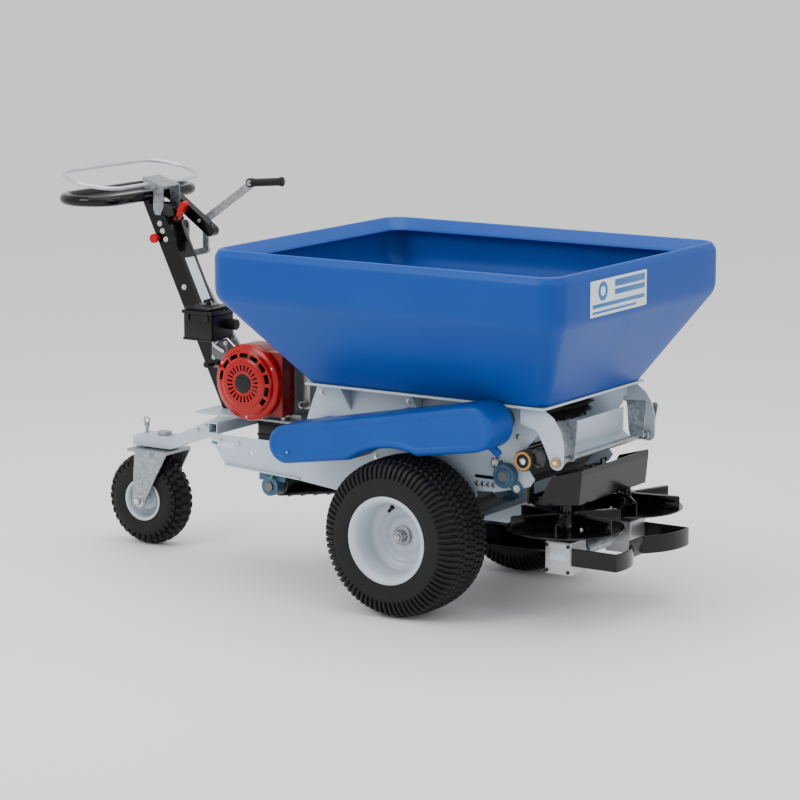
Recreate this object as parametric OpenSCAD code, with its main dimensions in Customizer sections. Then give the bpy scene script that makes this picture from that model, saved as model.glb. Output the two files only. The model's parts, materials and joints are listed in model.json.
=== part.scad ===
// Walk-behind garden spreader: hopper, feed conveyor, twin spinners, engine, drive wheels and rear caster.
// +X points to the discharge end, +Y to the operator's left, +Z up, floor at Z = 0.
// Inside the modules x is measured from the drive axle and at_axle() moves it to the row's origin.

/* [Stance] */
// Radius of the drive tyres
wheel_r = 206; // [203:1:208]
// Distance from the centre plane to the middle of each drive tyre
wheel_y = 310; // [308:1:330]
// Radius of the caster tyre
caster_r = 130; // [120:1:131]
// Swivel axis position along X
swivel_x = -1000; // [-1010:1:-990]
// Trail of the caster axle behind its swivel axis
caster_trail = 50; // [35:1:55]

/* [Hopper] */
// Rear end of the hopper's band
hop_x0 = -530; // [-540:1:-515]
// Front end of the hopper's band
hop_x1 = 512; // [500:1:530]
// Width of the hopper's band
hop_w = 880; // [860:1:900]
// Height of the hopper's rim
hop_top = 917; // [900:1:940]
// Height where the band meets the sloping walls
hop_band = 794; // [780:1:810]
// Height of the hopper's floor
hop_floor = 561; // [561:1:561]
// Wall thickness of the hopper
hop_wall = 8; // [5:1:10]

/* [Feed] */
// Rear roller position along X
rear_roller_x = -494; // [-500:1:-490]
// Rear roller height
rear_roller_z = 259; // [256:1:262]
// Front roller position along X
front_roller_x = 239; // [236:1:242]
// Front roller height
front_roller_z = 369; // [367:1:371]
// Radius of both rollers
roller_r = 28; // [24:1:30]
// Brush shaft position along X
brush_x = 232; // [230:1:234]
// Brush shaft height
brush_z = 512; // [508:1:513]
// Radius over the brush's bristles
brush_r = 50; // [40:1:54]

/* [Spinners] */
// Spinner axis position along X
spin_x = 382; // [380:1:384]
// Spinner axis distance from the centre plane
spin_y = 155; // [155:1:160]
// Radius of each spinner disc
disc_r = 150; // [130:1:152]
// Height of the spinner discs
disc_z = 240; // [238:1:244]

/* [Hidden] */
$fn = 48;
bar_x = -1115;          // centre of the handlebar loop
bar_half = 85;          // half width of the loop along X
bar_r = 15;             // radius of the handlebar tube
bar_z = 985;
frame_y = 200;          // inner face of each side plate
plate_t = 4;
cheek_y = 236;          // inner face of each gate cheek
deck_top = 417;
crank_x = -587;
crank_z = 526;
starter_y = -172;       // plane of the starter rope
jack_x = -333;
jack_z = 415;
chain_r = 18;           // pitch radius of the sprockets
pulley_r = 34;
arch_r = 232;           // arch of the chain cover over the drive tyre
cover_y0 = -380;        // outer face of the chain cover
cover_y1 = -267;        // open back of the chain cover
cross_x = 402;
cross_z = 424;
shaft_r = 12.5;
run = 0.05;             // radial clearance of a running fit
mast_foot_x = -745;
mast_head_x = -1007;
mast_head_z = 965;
mast_w = 35;
bail_x = -985;
bail_z = 945;
lever_x = -905;
lever_z = 917;
bell_x = -975;
bell_z = 900;
arm_drop = 85;
rod_drop = 60;
rod_foot_x = -715;
rod_foot_z = 470;
lever_y = 71;
guard_r = 172;          // radius of each lobe of the spinner guard
gear_half = 38.5;
// puts the origin halfway along the machine
axle_x = (bar_half + bar_r - bar_x - spin_x - guard_r) / 2;
dish_z = 10;             // outer face of the wheel dish, from the middle of the wheel
gear_z0 = 126;
gear_z1 = 211;
gear_z = (gear_z0 + gear_z1) / 2;
blue = [0.03, 0.33, 0.68];
white = [0.82, 0.86, 0.90];
black = [0.04, 0.04, 0.04];
zinc = [0.62, 0.65, 0.67];
red = [0.85, 0.10, 0.10];

// ---- helpers ----

module at_axle() translate([axle_x, 0, 0]) children();

module box(x0, x1, y0, y1, z0, z1)
    translate([x0, y0, z0]) cube([x1 - x0, y1 - y0, z1 - z0]);

module cyl_y(x, z, r, y0, y1)
    translate([x, y1, z]) rotate([90, 0, 0]) cylinder(r = r, h = y1 - y0);

module cyl_z(x, y, r, z0, z1)
    translate([x, y, z0]) cylinder(r = r, h = z1 - z0);

// An outline in the XZ plane, from y0 to y1
module plate_xz(y0, y1)
    translate([0, y1, 0]) rotate([90, 0, 0]) linear_extrude(y1 - y0) children();

// An outline in the YZ plane, t thick along X
module plate_yz(x, t)
    translate([x, 0, 0]) rotate([90, 0, 90]) linear_extrude(t) children();

// A straight strip with round ends, as an outline
module strip(x1, z1, x2, z2, w) {
    length = norm([x2 - x1, z2 - z1]);
    translate([x1, z1]) rotate(atan2(z2 - z1, x2 - x1)) {
        translate([0, -w / 2]) square([length, w]);
        circle(d = w);
        translate([length, 0]) circle(d = w);
    }
}

module rotate_about(a, x, z)
    translate([x, 0, z]) rotate([0, a, 0]) translate([-x, 0, -z]) children();

module both_sides() {
    children();
    mirror([0, 1, 0]) children();
}

// A loop of tube in the XY plane: two straights along Y and two half rings of radius hx
module tube_loop(hx, hy, rt) {
    for (sx = [-1, 1])
        translate([sx * hx, 0, 0]) rotate([90, 0, 0]) cylinder(r = rt, h = 2 * (hy - hx), center = true);
    for (a = [0, 180])
        rotate([0, 0, a]) translate([0, hy - hx, 0])
            rotate_extrude(angle = 180) translate([hx, 0]) circle(r = rt);
}

// A slab with rounded corners, centred on Y
module round_slab(x0, x1, w, r, z0, h)
    for (x = [x0 + r, x1 - r], y = [r - w / 2, w / 2 - r])
        translate([x, y, z0]) cylinder(r = r, h = h, $fn = 32);

// ---- frame ----

module side_outline() difference() {
    polygon([[-700, 381], [-643, 300], [-398, 284], [-281, 271], [-90, 262], [-75, 165], [-40, 150],
        [110, 150], [140, 200], [145, 318], [209, 322], [304, 345], [318, 365], [272, 421],
        [318, 470], [345, 505], [345, 555], [-340, 555], [-372, 470], [-400, 381]]);
    translate([0, wheel_r]) circle(r = 20);
    translate([front_roller_x, front_roller_z]) circle(r = 16);
    translate([brush_x, brush_z]) circle(r = 16);
    translate([jack_x, jack_z]) circle(r = 14);
    translate([-560, 340]) circle(r = 5.5);
    translate([140, 352]) square([66, 9]);
}

// Side plate with its lower edge folded outwards at the rear
module side_plate() color(white) {
    plate_xz(-frame_y - plate_t, -frame_y) side_outline();
    plate_xz(-212, -frame_y - plate_t) polygon([[-643, 300], [-398, 286.8], [-398, 290.8], [-643, 304]]);
}

module side_plate_right() at_axle() side_plate();

module side_plate_left() at_axle() mirror([0, 1, 0]) side_plate();

module cross_members() at_axle() color(white) {
    for (x = [-700, -450]) difference() {
        box(x, x + 30, -204, 204, 381, 411);
        box(x + 3, x + 27, -205, 205, 384, 408);
        box(-455, -415, 112, 138, 400, 420);
    }
    // engine deck
    box(-810, -385, -110, 110, 411, deck_top);
    // front cross tube that carries the spinner arms
    difference() {
        box(84, 124, -frame_y, frame_y, 195, 235);
        box(88, 120, -frame_y - 1, frame_y + 1, 199, 231);
    }
    // back wall of the feed trough
    difference() {
        box(-292, -288, -frame_y, frame_y, 332, 555);
        box(-295, -285, 112, 138, 360, 470);
    }
    // post that carries the clutch arm
    difference() {
        box(-733, -697, 79, 85, deck_top, 548);
        cyl_y(rod_foot_x, rod_foot_z + rod_drop, 6 + run, 70, 90);
    }
}

module gooseneck_beam() at_axle() color(white) difference() {
    plate_xz(-30, 30) polygon([[-1090, 281], [-1090, 305], [-1070, 315], [-960, 315], [-865, 357],
        [-755, 411], [-700, 411], [-700, 374], [-745, 361], [-940, 288], [-960, 281]]);
    cyl_z(swivel_x, 0, 14 + run, 270, 330);
    cyl_z(-1062, 0, 5 + run, 270, 330);
}

module bearing_pad(x, z, r, bore, y0, y1) difference() {
    cyl_y(x, z, r, y0, y1);
    cyl_y(x, z, bore, y0 - 1, y1 + 1);
}

module bearing_housings() at_axle() color([0.27, 0.38, 0.48]) both_sides() {
    // two-bolt flange bearing of the front roller
    difference() {
        union() {
            plate_xz(204, 214) strip(front_roller_x - 32, front_roller_z + 30,
                front_roller_x + 32, front_roller_z - 30, 26);
            cyl_y(front_roller_x, front_roller_z, 31, 204, 226);
        }
        cyl_y(front_roller_x, front_roller_z, shaft_r + run, 200, 230);
    }
    // pillow block of the rear roller, hung under the side plate
    difference() {
        union() {
            cyl_y(rear_roller_x, rear_roller_z, 26, 180, 212);
            box(rear_roller_x - 42, rear_roller_x + 42, 190, frame_y, 272, 312);
            box(rear_roller_x - 24, rear_roller_x + 24, 184, frame_y, 262, 284);
        }
        cyl_y(rear_roller_x, rear_roller_z, shaft_r + run, 170, 220);
    }
    bearing_pad(0, wheel_r, 36, shaft_r + run, 178, frame_y);
    bearing_pad(brush_x, brush_z, 28, shaft_r + run, 204, 215);
    bearing_pad(jack_x, jack_z, 24, 10 + run, 204, 214);
}

module frame_bolts() at_axle() color(zinc) {
    both_sides() {
        for (s = [-1, 1]) cyl_y(front_roller_x + s * 32, front_roller_z - s * 30, 6.5, 214, 220);
        for (x = [150, 166, 182, 198]) cyl_y(x, 338, 4.5, 204, 209);
        cyl_y(0, wheel_r - 28, 4, 204, 208);
    }
    for (z = [912, 892, 870, 742])
        cyl_y(mast_head_x + (mast_head_z - z) * 0.478 - 8, z, 4.5, -39, -mast_w);
    for (x = [-865, -835])
        cyl_y(x, 346 - (-865 - x) * 0.49, 5, -34, -30);
    for (x = [-640, -530]) cyl_z(x, -94, 6, deck_top, 422);
}

module transaxle() at_axle() color([0.35, 0.36, 0.37]) difference() {
    union() {
        cyl_y(0, wheel_r, 62, -60, 60);
        cyl_y(0, wheel_r, 34, -88, 88);
        box(-72, 40, -45, 45, 232, 275);
        box(-95, -55, -30, 30, 180, 240);
    }
    for (s = [-1, 1]) cyl_y(0, wheel_r, shaft_r + run, s > 0 ? 40 : -95, s > 0 ? 95 : -40);
}

// ---- hopper ----

module hopper() at_axle() color(blue) difference() {
    union() {
        hull() {
            round_slab(-340, 372, 510, 30, hop_floor, 1);
            round_slab(hop_x0, hop_x1, hop_w, 60, hop_band, 1);
        }
        hull() {
            round_slab(hop_x0, hop_x1, hop_w, 60, hop_band, hop_top - hop_band - 18);
            round_slab(hop_x0 + 18, hop_x1 - 18, hop_w - 36, 45, hop_top - 1, 1);
        }
    }
    // mouth inside the rim, then the walls behind it, then the slopes
    hull() round_slab(hop_x0 + 45, hop_x1 - 45, hop_w - 90, 40, hop_top - 31, 40);
    hull() round_slab(hop_x0 + hop_wall, hop_x1 - hop_wall, hop_w - 2 * hop_wall, 52, hop_band + 4,
        hop_top - hop_band - 34);
    hull() {
        round_slab(-340 + hop_wall, 372 - hop_wall, 510 - 2 * hop_wall, 24, hop_floor + hop_wall, 1);
        round_slab(hop_x0 + hop_wall, hop_x1 - hop_wall, hop_w - 2 * hop_wall, 52, hop_band + 4, 1);
    }
    box(-285, 345, -195, 195, hop_floor - 1, hop_floor + hop_wall + 2);
}

module hopper_frame() at_axle() color(white) {
    difference() {
        box(-345, 376, -260, 260, 555, hop_floor);
        box(-285, 345, -195, 195, 554, hop_floor + 1);
    }
    // gussets that carry the overhanging floor
    for (x = [-240, -20]) both_sides()
        plate_yz(x, 4) polygon([[204, 555], [258, 555], [204, 490]]);
}

module cheek_outline() difference() {
    union() {
        polygon([[296, 555], [362, 555], [392, 535], [412, 506], [422, 470], [422, cross_z], [382, cross_z],
            [366, 460], [343, 500], [296, 512]]);
        translate([cross_x, cross_z]) circle(r = 20);
    }
    translate([cross_x, cross_z]) circle(r = 8 + run);
}

module gate_cheeks() at_axle() color(white) both_sides() {
    plate_xz(cheek_y, cheek_y + plate_t) cheek_outline();
    // spacer block between the side plate and the cheek
    box(296, 340, 204, cheek_y, 520, 548);
}

module chain_cover() at_axle() color(blue) {
    difference() {
        union() {
            plate_xz(cover_y0 + 5, cover_y1) cover_outline(0);
            plate_xz(cover_y0, cover_y0 + 5) cover_outline(12);
            // catch under the front end
            difference() {
                plate_xz(cover_y1 - 14, cover_y1 - 2) strip(226, 458, 250, 440, 18);
                plate_xz(cover_y1 - 15, cover_y1 - 1) strip(240, 449, 250, 440, 7);
            }
        }
        plate_xz(cover_y0 + 8, cover_y1 + 1) cover_outline(4);
    }
    // lugs that reach the side plate
    box(-310, -290, cover_y1 - 23, -frame_y - plate_t, 452, 468);
    box(-60, -40, cover_y1 - 23, -frame_y - plate_t, 498, 515);
}

// Long tapered outline with the arch over the drive tyre
module cover_outline(inset) difference() {
    hull() {
        translate([jack_x, jack_z]) circle(r = 50 - inset);
        translate([brush_x, brush_z]) circle(r = 60 - inset);
    }
    intersection() {
        translate([0, wheel_r]) circle(r = arch_r + inset);
        translate([-100 - inset, 300]) square([200 + 2 * inset, 160 + inset]);
    }
}

module chain_loop(x1, z1, x2, z2, r, y0, y1) difference() {
    plate_xz(y0, y1) strip(x1, z1, x2, z2, 2 * r + 16);
    plate_xz(y0 - 1, y1 + 1) strip(x1, z1, x2, z2, 2 * r + 0.8);
}

module drive_chains() at_axle() color([0.25, 0.25, 0.27]) {
    chain_loop(jack_x, jack_z, brush_x, brush_z, chain_r, -312, -304);
    chain_loop(brush_x, brush_z, front_roller_x, front_roller_z, chain_r, 228, 234);
}

module drive_belt() at_axle() color(black)
    chain_loop(crank_x, crank_z, jack_x, jack_z, pulley_r, 118, 132);

// ---- engine ----

module engine_block() at_axle() color([0.62, 0.63, 0.64]) difference() {
    union() {
        box(-672, -500, -108, 88, 432, 590);
        box(-690, -482, -80, 70, deck_top, 432);
        // finned cylinder, leaning to the front
        for (i = [0:6]) box(-500, -466, -70 + 18 * i, -62 + 18 * i, 470, 590);
        box(-500, -470, -60, 40, 480, 580);
        cyl_y(crank_x, crank_z, 45, 88, 100);
    }
    cyl_y(crank_x, crank_z, 11, -120, 110);
}

module engine_shroud() at_axle() color([0.65, 0.06, 0.07]) difference() {
    union() {
        cyl_y(crank_x, crank_z, 104, -165, -108.1);
        box(crank_x, -483, -165, -108.1, 440, 612);
    }
    cyl_y(crank_x, crank_z, 98, -166, -112);
    cyl_y(crank_x, crank_z, 13, -120, -100);
}

module recoil_cover() at_axle() color(red) difference() {
    union() {
        cyl_y(crank_x, crank_z, 102, -178, -165.1);
        cyl_y(crank_x, crank_z, 86, -192, -178);
        cyl_y(crank_x, crank_z, 66, -200, -192);
    }
    cyl_y(crank_x, crank_z, 96, -175, -160);
    cyl_y(crank_x, crank_z, 80, -188, -160);
    cyl_y(crank_x, crank_z, 60, -196, -160);
    for (a = [0:15:359]) rotate_about(a, crank_x, crank_z)
        plate_xz(-201, -190) strip(crank_x + 42, crank_z, crank_x + 54, crank_z, 5);
    translate([crank_x - 88, starter_y, crank_z + 40]) rotate([0, -90, 0]) cylinder(r = 5, h = 30);
}

module air_cleaner() at_axle() color(black) {
    box(-810, -714, -165, -60, 622, 700);
    box(-814, -710, -169, -56, 700.1, 714);
    cyl_z(-762, -112, 5, 714, 722);
    box(-774, -750, -114.5, -109.5, 722, 730);
}

module carburettor() at_axle() color([0.45, 0.45, 0.46]) {
    box(-762, -700, -104, -62, 560, 622);
    cyl_z(-731, -83, 18, 532, 560);
    translate([-700, -83, 570]) rotate([0, 90, 0]) cylinder(r = 12, h = 28);
}

module muffler() at_axle() color([0.55, 0.56, 0.57]) {
    box(-466, -436, -104, 60, 452, 560);
    cyl_y(-450, 470, 9, -125, -104);
}

module fuel_tank() at_axle() color(black) difference() {
    union() {
        box(-645, -535, -60, 110, 316, 405);
        cyl_y(-590, 370, 18, 110, 122);
        box(-640, -625, -20, 70, 405, 411);
        box(-555, -540, -20, 70, 405, 411);
    }
    box(-641, -539, -56, 106, 320, 401);
    cyl_y(-590, 370, 14, 100, 123);
}

module fuel_cap() at_axle() color([0.1, 0.1, 0.1]) {
    cyl_y(-590, 370, 23, 122.3, 138);
    cyl_y(-590, 370, 13.95, 112, 122.3);
}

module crankshaft() at_axle() color([0.25, 0.25, 0.26]) {
    cyl_y(crank_x, crank_z, 10.95, -150, 134);
    cyl_y(crank_x, crank_z, 90, -140, -118);
    cyl_y(crank_x, crank_z, pulley_r, 118, 132);
    cyl_y(crank_x, crank_z, 34, -162, -150);
}

module starter_handle() at_axle() color(black) translate([crank_x - 122, starter_y, crank_z + 40]) {
    rotate([0, 90, 0]) cylinder(r = 3, h = 20);
    rotate([90, 0, 0]) cylinder(r = 9, h = 60, center = true);
}

// ---- handle and controls ----

module mast_outline(t)
    polygon([[mast_foot_x - 29 + t, deck_top], [mast_foot_x + 29 - t, deck_top],
        [mast_head_x + 29 - t, mast_head_z], [mast_head_x - 29 + t, mast_head_z]]);

module mast() at_axle() color(black) difference() {
    union() {
        plate_xz(-mast_w, mast_w) mast_outline(0);
        box(-1036, -1018, -mast_w, mast_w, mast_head_z, bar_z);
        cyl_y(bell_x, bell_z, 11, mast_w, lever_y - 0.3);
        // lugs of the throttle lever
        for (y = [-16, 10]) plate_xz(y, y + 6) strip(-966, 925, -944, 925, 16);
    }
    plate_xz(-mast_w + 4, mast_w - 4) mast_outline(5);
    cyl_y(bail_x, bail_z, 5 + run, -40, 40);
    cyl_y(bell_x, bell_z, 5 + run, 30, 80);
    cyl_y(-944, 925, 3 + run, -20, 20);
    cyl_y(bar_x + bar_half, bar_z, bar_r, -40, 40);
}

module handlebar_loop() at_axle() color(black)
    translate([bar_x, 0, bar_z]) tube_loop(bar_half, 230, bar_r);

module lever_support() at_axle() color(black) difference() {
    plate_xz(45, 70) strip(-1008, 985, -872, 890, 30);
    cyl_y(bar_x + bar_half, bar_z, bar_r, 40, 75);
    cyl_y(lever_x, lever_z, 5 + run, 40, 75);
}

module bail_bracket() at_axle() color(zinc) {
    difference() {
        both_sides() plate_xz(mast_w + 1.5, mast_w + 4.5)
            polygon([[-1036, 1035], [-967, 1013], [-965, 962], [-976, 936], [-994, 936], [-1000, 952],
                [-1000, 1002], [-1030, 1008]]);
        cyl_y(-1017, 1018.4, 5.55, -45, 45);
    }
    plate_xz(-mast_w - 4.5, mast_w + 4.5) polygon([[-1036, 1035], [-967, 1013], [-967, 1016], [-1036, 1038]]);
    cyl_y(bail_x, bail_z, 5, -mast_w - 7, mast_w + 7);
}

module bail_rod() at_axle() color([0.75, 0.77, 0.78])
    translate([-1105, 0, 1037.8]) rotate([0, 12.4, 0]) tube_loop(90, 245, 5.5);

module throttle_lever() at_axle() color(red) {
    cyl_y(-944, 925, 3, -18, 18);
    plate_xz(-9.5, 9.5) strip(-944, 925, -934, 948, 10);
    plate_xz(-9.5, 9.5) strip(-934, 948, -922, 966, 16);
}

module stop_knob() at_axle() color(red) {
    cyl_y(-990, 872, 4, -44, -mast_w - 0.3);
    difference() {
        cyl_y(-990, 872, 13, -56, -44);
        for (a = [0:45:359]) rotate_about(a, -990, 872) cyl_y(-976, 872, 2.6, -57, -43);
    }
}

module feed_lever() at_axle() color(zinc) {
    plate_xz(lever_y, lever_y + 6) {
        strip(lever_x, lever_z, -742, 1030, 22);
        strip(lever_x, lever_z, lever_x, lever_z - arm_drop, 18);
    }
    cyl_y(lever_x, lever_z, 5, 41, lever_y);
    cyl_y(lever_x, lever_z - arm_drop, 4, lever_y + 6, 85);
    cyl_y(-742, 1030, 8, 52, lever_y);
}

module lever_grip() at_axle() color(black) {
    difference() {
        union() {
            cyl_y(-742, 1030, 13, 54, 70.7);
            translate([-742, 62, 1030]) rotate([0, 85, 0]) cylinder(r = 11, h = 104);
            translate([-742, 62, 1030]) rotate([0, 85, 0]) translate([0, 0, 98]) cylinder(r = 13, h = 8);
        }
        cyl_y(-742, 1030, 8, 50, 80);
        box(-760, -720, 70.8, 90, 1010, 1050);
    }
}

module feed_link() at_axle() color(zinc) difference() {
    plate_xz(78, 83) strip(bell_x, bell_z - arm_drop, lever_x, lever_z - arm_drop, 18);
    cyl_y(lever_x, lever_z - arm_drop, 4 + run, 70, 90);
    cyl_y(bell_x, bell_z - arm_drop, 5.5, 70, 90);
}

module bell_crank() at_axle() color(zinc) {
    difference() {
        plate_xz(lever_y, lever_y + 6) strip(bell_x, bell_z, bell_x, bell_z - arm_drop, 26);
        cyl_y(bell_x, bell_z - rod_drop, 4 + run, 60, 80);
    }
    cyl_y(bell_x, bell_z, 5, 32, lever_y);
    cyl_y(bell_x, bell_z - arm_drop, 4, lever_y + 6, 85);
}

module feed_rod() at_axle() color(zinc) {
    plate_xz(60, 70) difference() {
        strip(bell_x, bell_z - rod_drop, rod_foot_x, rod_foot_z, 10);
        translate([rod_foot_x, rod_foot_z]) circle(r = 3.5);
    }
    cyl_y(bell_x, bell_z - rod_drop, 4, 70, 79);
}

module clutch_arm() at_axle() color(zinc) {
    plate_xz(lever_y, lever_y + 6) strip(rod_foot_x, rod_foot_z + rod_drop, rod_foot_x, rod_foot_z - 10, 20);
    cyl_y(rod_foot_x, rod_foot_z + rod_drop, 6, lever_y + 6, 88);
    cyl_y(rod_foot_x, rod_foot_z, 3, 58, lever_y);
}

// ---- feed ----

// Section of a loop round both rollers, a given depth outside their surface
module belt_section(depth)
    strip(rear_roller_x, rear_roller_z, front_roller_x, front_roller_z, 2 * (roller_r + depth));

module conveyor_belt() at_axle() color(black) difference() {
    plate_xz(-165, 165) belt_section(6);
    plate_xz(-166, 166) belt_section(0.3);
}

module rear_roller() at_axle() color([0.3, 0.3, 0.32]) {
    cyl_y(rear_roller_x, rear_roller_z, roller_r, -168, 168);
    cyl_y(rear_roller_x, rear_roller_z, shaft_r, -218, 218);
}

module front_roller() at_axle() color([0.3, 0.3, 0.32]) {
    cyl_y(front_roller_x, front_roller_z, roller_r, -168, 168);
    cyl_y(front_roller_x, front_roller_z, shaft_r, -232, 235);
    cyl_y(front_roller_x, front_roller_z, chain_r, 228.2, 233.8);
}

module beater_brush() at_axle() color([0.08, 0.08, 0.08]) {
    cyl_y(brush_x, brush_z, shaft_r, -318, 235);
    cyl_y(brush_x, brush_z, 26, -172, 172);
    for (a = [0:30:359]) rotate_about(a, brush_x, brush_z)
        box(brush_x + 20, brush_x + brush_r, -170, 170, brush_z - 4, brush_z + 4);
    cyl_y(brush_x, brush_z, chain_r, -311.8, -304.2);
    cyl_y(brush_x, brush_z, chain_r, 228.2, 233.8);
}

module jack_shaft() at_axle() color([0.3, 0.3, 0.32]) {
    cyl_y(jack_x, jack_z, 10, -318, 218);
    cyl_y(jack_x, jack_z, chain_r, -311.8, -304.2);
    cyl_y(jack_x, jack_z, pulley_r, 118, 132);
}

module gate_crossbar() at_axle() color(zinc) {
    cyl_y(cross_x, cross_z, 8, -244, 254);
    both_sides() {
        cyl_y(cross_x, cross_z, 13, 212, 222);
        difference() {
            plate_xz(178, 181) polygon([[384, 412], [418, 420], [428, 523], [369, 518], [376, 440]]);
            for (i = [0:5])
                plate_xz(177, 182) translate([372 + 11 * i, 525]) rotate(45) square(8, center = true);
        }
    }
    plate_xz(246, 250) strip(cross_x, cross_z, cross_x + 14, cross_z + 74, 16);
}

module gate_plate() at_axle() color(white) {
    box(350, 353, -192, 192, 430, 496);
    plate_xz(-192, 192) polygon([[353, 430], [372, 418], [373.5, 420.5], [353, 434]]);
}

module discharge_hood() at_axle() color(black) {
    difference() {
        plate_xz(-175, 175) polygon([[284, 316], [322, 318], [352, 372], [438, 396], [438, 380], [430, 306],
            [300, 292], [284, 300]]);
        plate_xz(-171, 171) polygon([[288, 400], [318, 400], [434, 420], [434, 380], [426, 290], [288, 280]]);
    }
    both_sides() box(294, 300, 175, frame_y, 300, 356);
}

// ---- spinners ----

module spinner_arms() at_axle() color(black) both_sides() {
    box(124, spin_x - gear_half, 128, 134, 172, 226);
    box(124, spin_x - gear_half, 134, 160, 172, 178);
    box(124, spin_x - gear_half, 134, 160, 220, 226);
}

module spinner_gearboxes() at_axle() color([0.66, 0.68, 0.70]) both_sides() difference() {
    union() {
        box(spin_x - gear_half, spin_x + gear_half, spin_y - gear_half, spin_y + gear_half, gear_z0, gear_z1);
        box(spin_x - gear_half + 3, spin_x + gear_half - 3, spin_y + gear_half, spin_y + gear_half + 3,
            gear_z0 + 3, gear_z1 - 3);
        for (dx = [-31, 31], dz = [-33, 33])
            cyl_y(spin_x + dx, gear_z + dz, 3.5, spin_y + gear_half + 3, spin_y + gear_half + 6);
    }
    cyl_z(spin_x, spin_y, 12 + run, 190, 240);
    cyl_y(spin_x, gear_z, 10 + run, spin_y - 50, spin_y - 15);
}

module spinner_shaft() at_axle() color([0.75, 0.76, 0.77]) {
    cyl_y(spin_x, gear_z, 10, -138, 138);
    cyl_y(spin_x, gear_z, 17, -60, 60);
}

// the lobes ahead of the gearboxes, with straight sides level with the gearbox faces
module guard_solid(inset, z0, z1) intersection() {
    union() {
        both_sides() translate([spin_x, spin_y, z0]) cylinder(r = guard_r - inset, h = z1 - z0);
        box(spin_x, spin_x + 120 - inset, -spin_y, spin_y, z0, z1);
    }
    box(spin_x + gear_half, spin_x + 200, inset - spin_y - gear_half, spin_y + gear_half - inset, 0, 400);
}
module spinner_guard() at_axle() color(black) {
    difference() {
        guard_solid(0, 152, 198);
        guard_solid(5, 150, 300);
    }
}

// Disc with hub, cap and six upright vanes
module spinner(turn) {
    translate([spin_x, 0, 0]) {
        translate([0, spin_y, disc_z]) cylinder(r = disc_r, h = 4);
        translate([0, spin_y, disc_z]) cylinder(r = 26, h = 42);
        translate([0, spin_y, disc_z + 42]) cylinder(r = 14, h = 22);
        translate([0, spin_y, 195]) cylinder(r = 12, h = disc_z - 195);
        for (k = [0:5]) translate([0, spin_y, disc_z + 4]) rotate([0, 0, turn + 60 * k]) {
            translate([22, -2, 0]) cube([disc_r - 24, 4, 36]);
            translate([22, -12, 32]) cube([disc_r - 24, 12, 4]);
        }
    }
}

module spinner_left() at_axle() color(black) spinner(10);

module spinner_right() at_axle() color(black) mirror([0, 1, 0]) spinner(10);

// ---- wheels ----

// Local +Z points away from the machine
module on_wheel(side)
    at_axle() translate([0, side * wheel_y, wheel_r]) rotate([side > 0 ? -90 : 90, 0, 0]) children();

module drive_tyre() color(black) rotate_extrude() polygon([[102, -88], [118, -90.5], [150, -95],
    [178, -90], [196, -74], [wheel_r - 2, -40], [wheel_r, 0], [wheel_r - 2, 40], [196, 74], [178, 90],
    [150, 95], [118, 90.5], [102, 88], [102, 76], [120, 80], [150, 84], [174, 78], [188, 62], [196, 0],
    [188, -62], [174, -78], [150, -84], [120, -80], [102, -76]]);

module drive_rim() color([0.9, 0.92, 0.93]) {
    rotate_extrude() {
        translate([97.5, -95.2]) square([4, 190.4]);
        translate([101, 91.2]) square([13.5, 4]);
        translate([101, -95.2]) square([13.5, 4]);
        translate([0, dish_z]) polygon([[98, -22], [98, -17], [74, 6], [44, 0], [20.2, 0], [20.2, -4],
            [44, -4], [74, 1]]);
    }
    // valve stem
    rotate([0, 0, 115]) translate([66, 0, dish_z + 3.5]) cylinder(r = 4, h = 22);
}

module wheel_hub() color(zinc) {
    translate([0, 0, dish_z - 12]) cylinder(r = 38, h = 8);
    translate([0, 0, dish_z - 12]) cylinder(r = 19.8, h = 24);
    translate([0, 0, -250]) cylinder(r = shaft_r, h = 240 + dish_z);
    translate([0, 0, dish_z + 12]) cylinder(r = 17, h = 13, $fn = 6);
    translate([0, 0, dish_z + 25]) cylinder(r = 9, h = 7);
}

module drive_tyre_right() on_wheel(-1) drive_tyre();
module drive_rim_right() on_wheel(-1) drive_rim();
module wheel_hub_right() on_wheel(-1) wheel_hub();
module drive_tyre_left() on_wheel(1) drive_tyre();
module drive_rim_left() on_wheel(1) drive_rim();
module wheel_hub_left() on_wheel(1) wheel_hub();

// ---- caster ----

module fork_side() {
    polygon([[-1062, 268], [-955, 268], [swivel_x - caster_trail + 22, caster_r],
        [swivel_x - caster_trail - 22, caster_r]]);
    translate([swivel_x - caster_trail, caster_r]) circle(r = 22);
}
module caster_fork() at_axle() color(zinc) {
    difference() {
        union() {
            box(-1088, -955, -60, 60, 268, 276);
            both_sides() plate_xz(54, 60) fork_side();
        }
        cyl_z(-1062, 0, 5.4, 260, 280);
        // notches where the pin can hold the wheel turned across
        both_sides() cyl_z(swivel_x, 62, 6, 256, 280);
    }
    cyl_z(swivel_x, 0, 14, 276, 316);
    cyl_z(swivel_x, 0, 20, 315.5, 324);
    cyl_y(swivel_x - caster_trail, caster_r, 8, -54, 54);
    both_sides() cyl_y(swivel_x - caster_trail, caster_r, 12, 60, 68);
}

module on_caster()
    at_axle() translate([swivel_x - caster_trail, 0, caster_r]) rotate([90, 0, 0]) children();

module caster_tyre() on_caster() color(black) rotate_extrude() polygon([[51.5, -36], [62, -38],
    [85, -45], [108, -42], [122, -30], [caster_r, 0], [122, 30], [108, 42], [85, 45], [62, 38],
    [51.5, 36], [51.5, 28], [64, 30], [85, 36], [104, 34], [114, 24], [120, 0], [114, -24], [104, -34],
    [85, -36], [64, -30], [51.5, -28]]);

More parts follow.
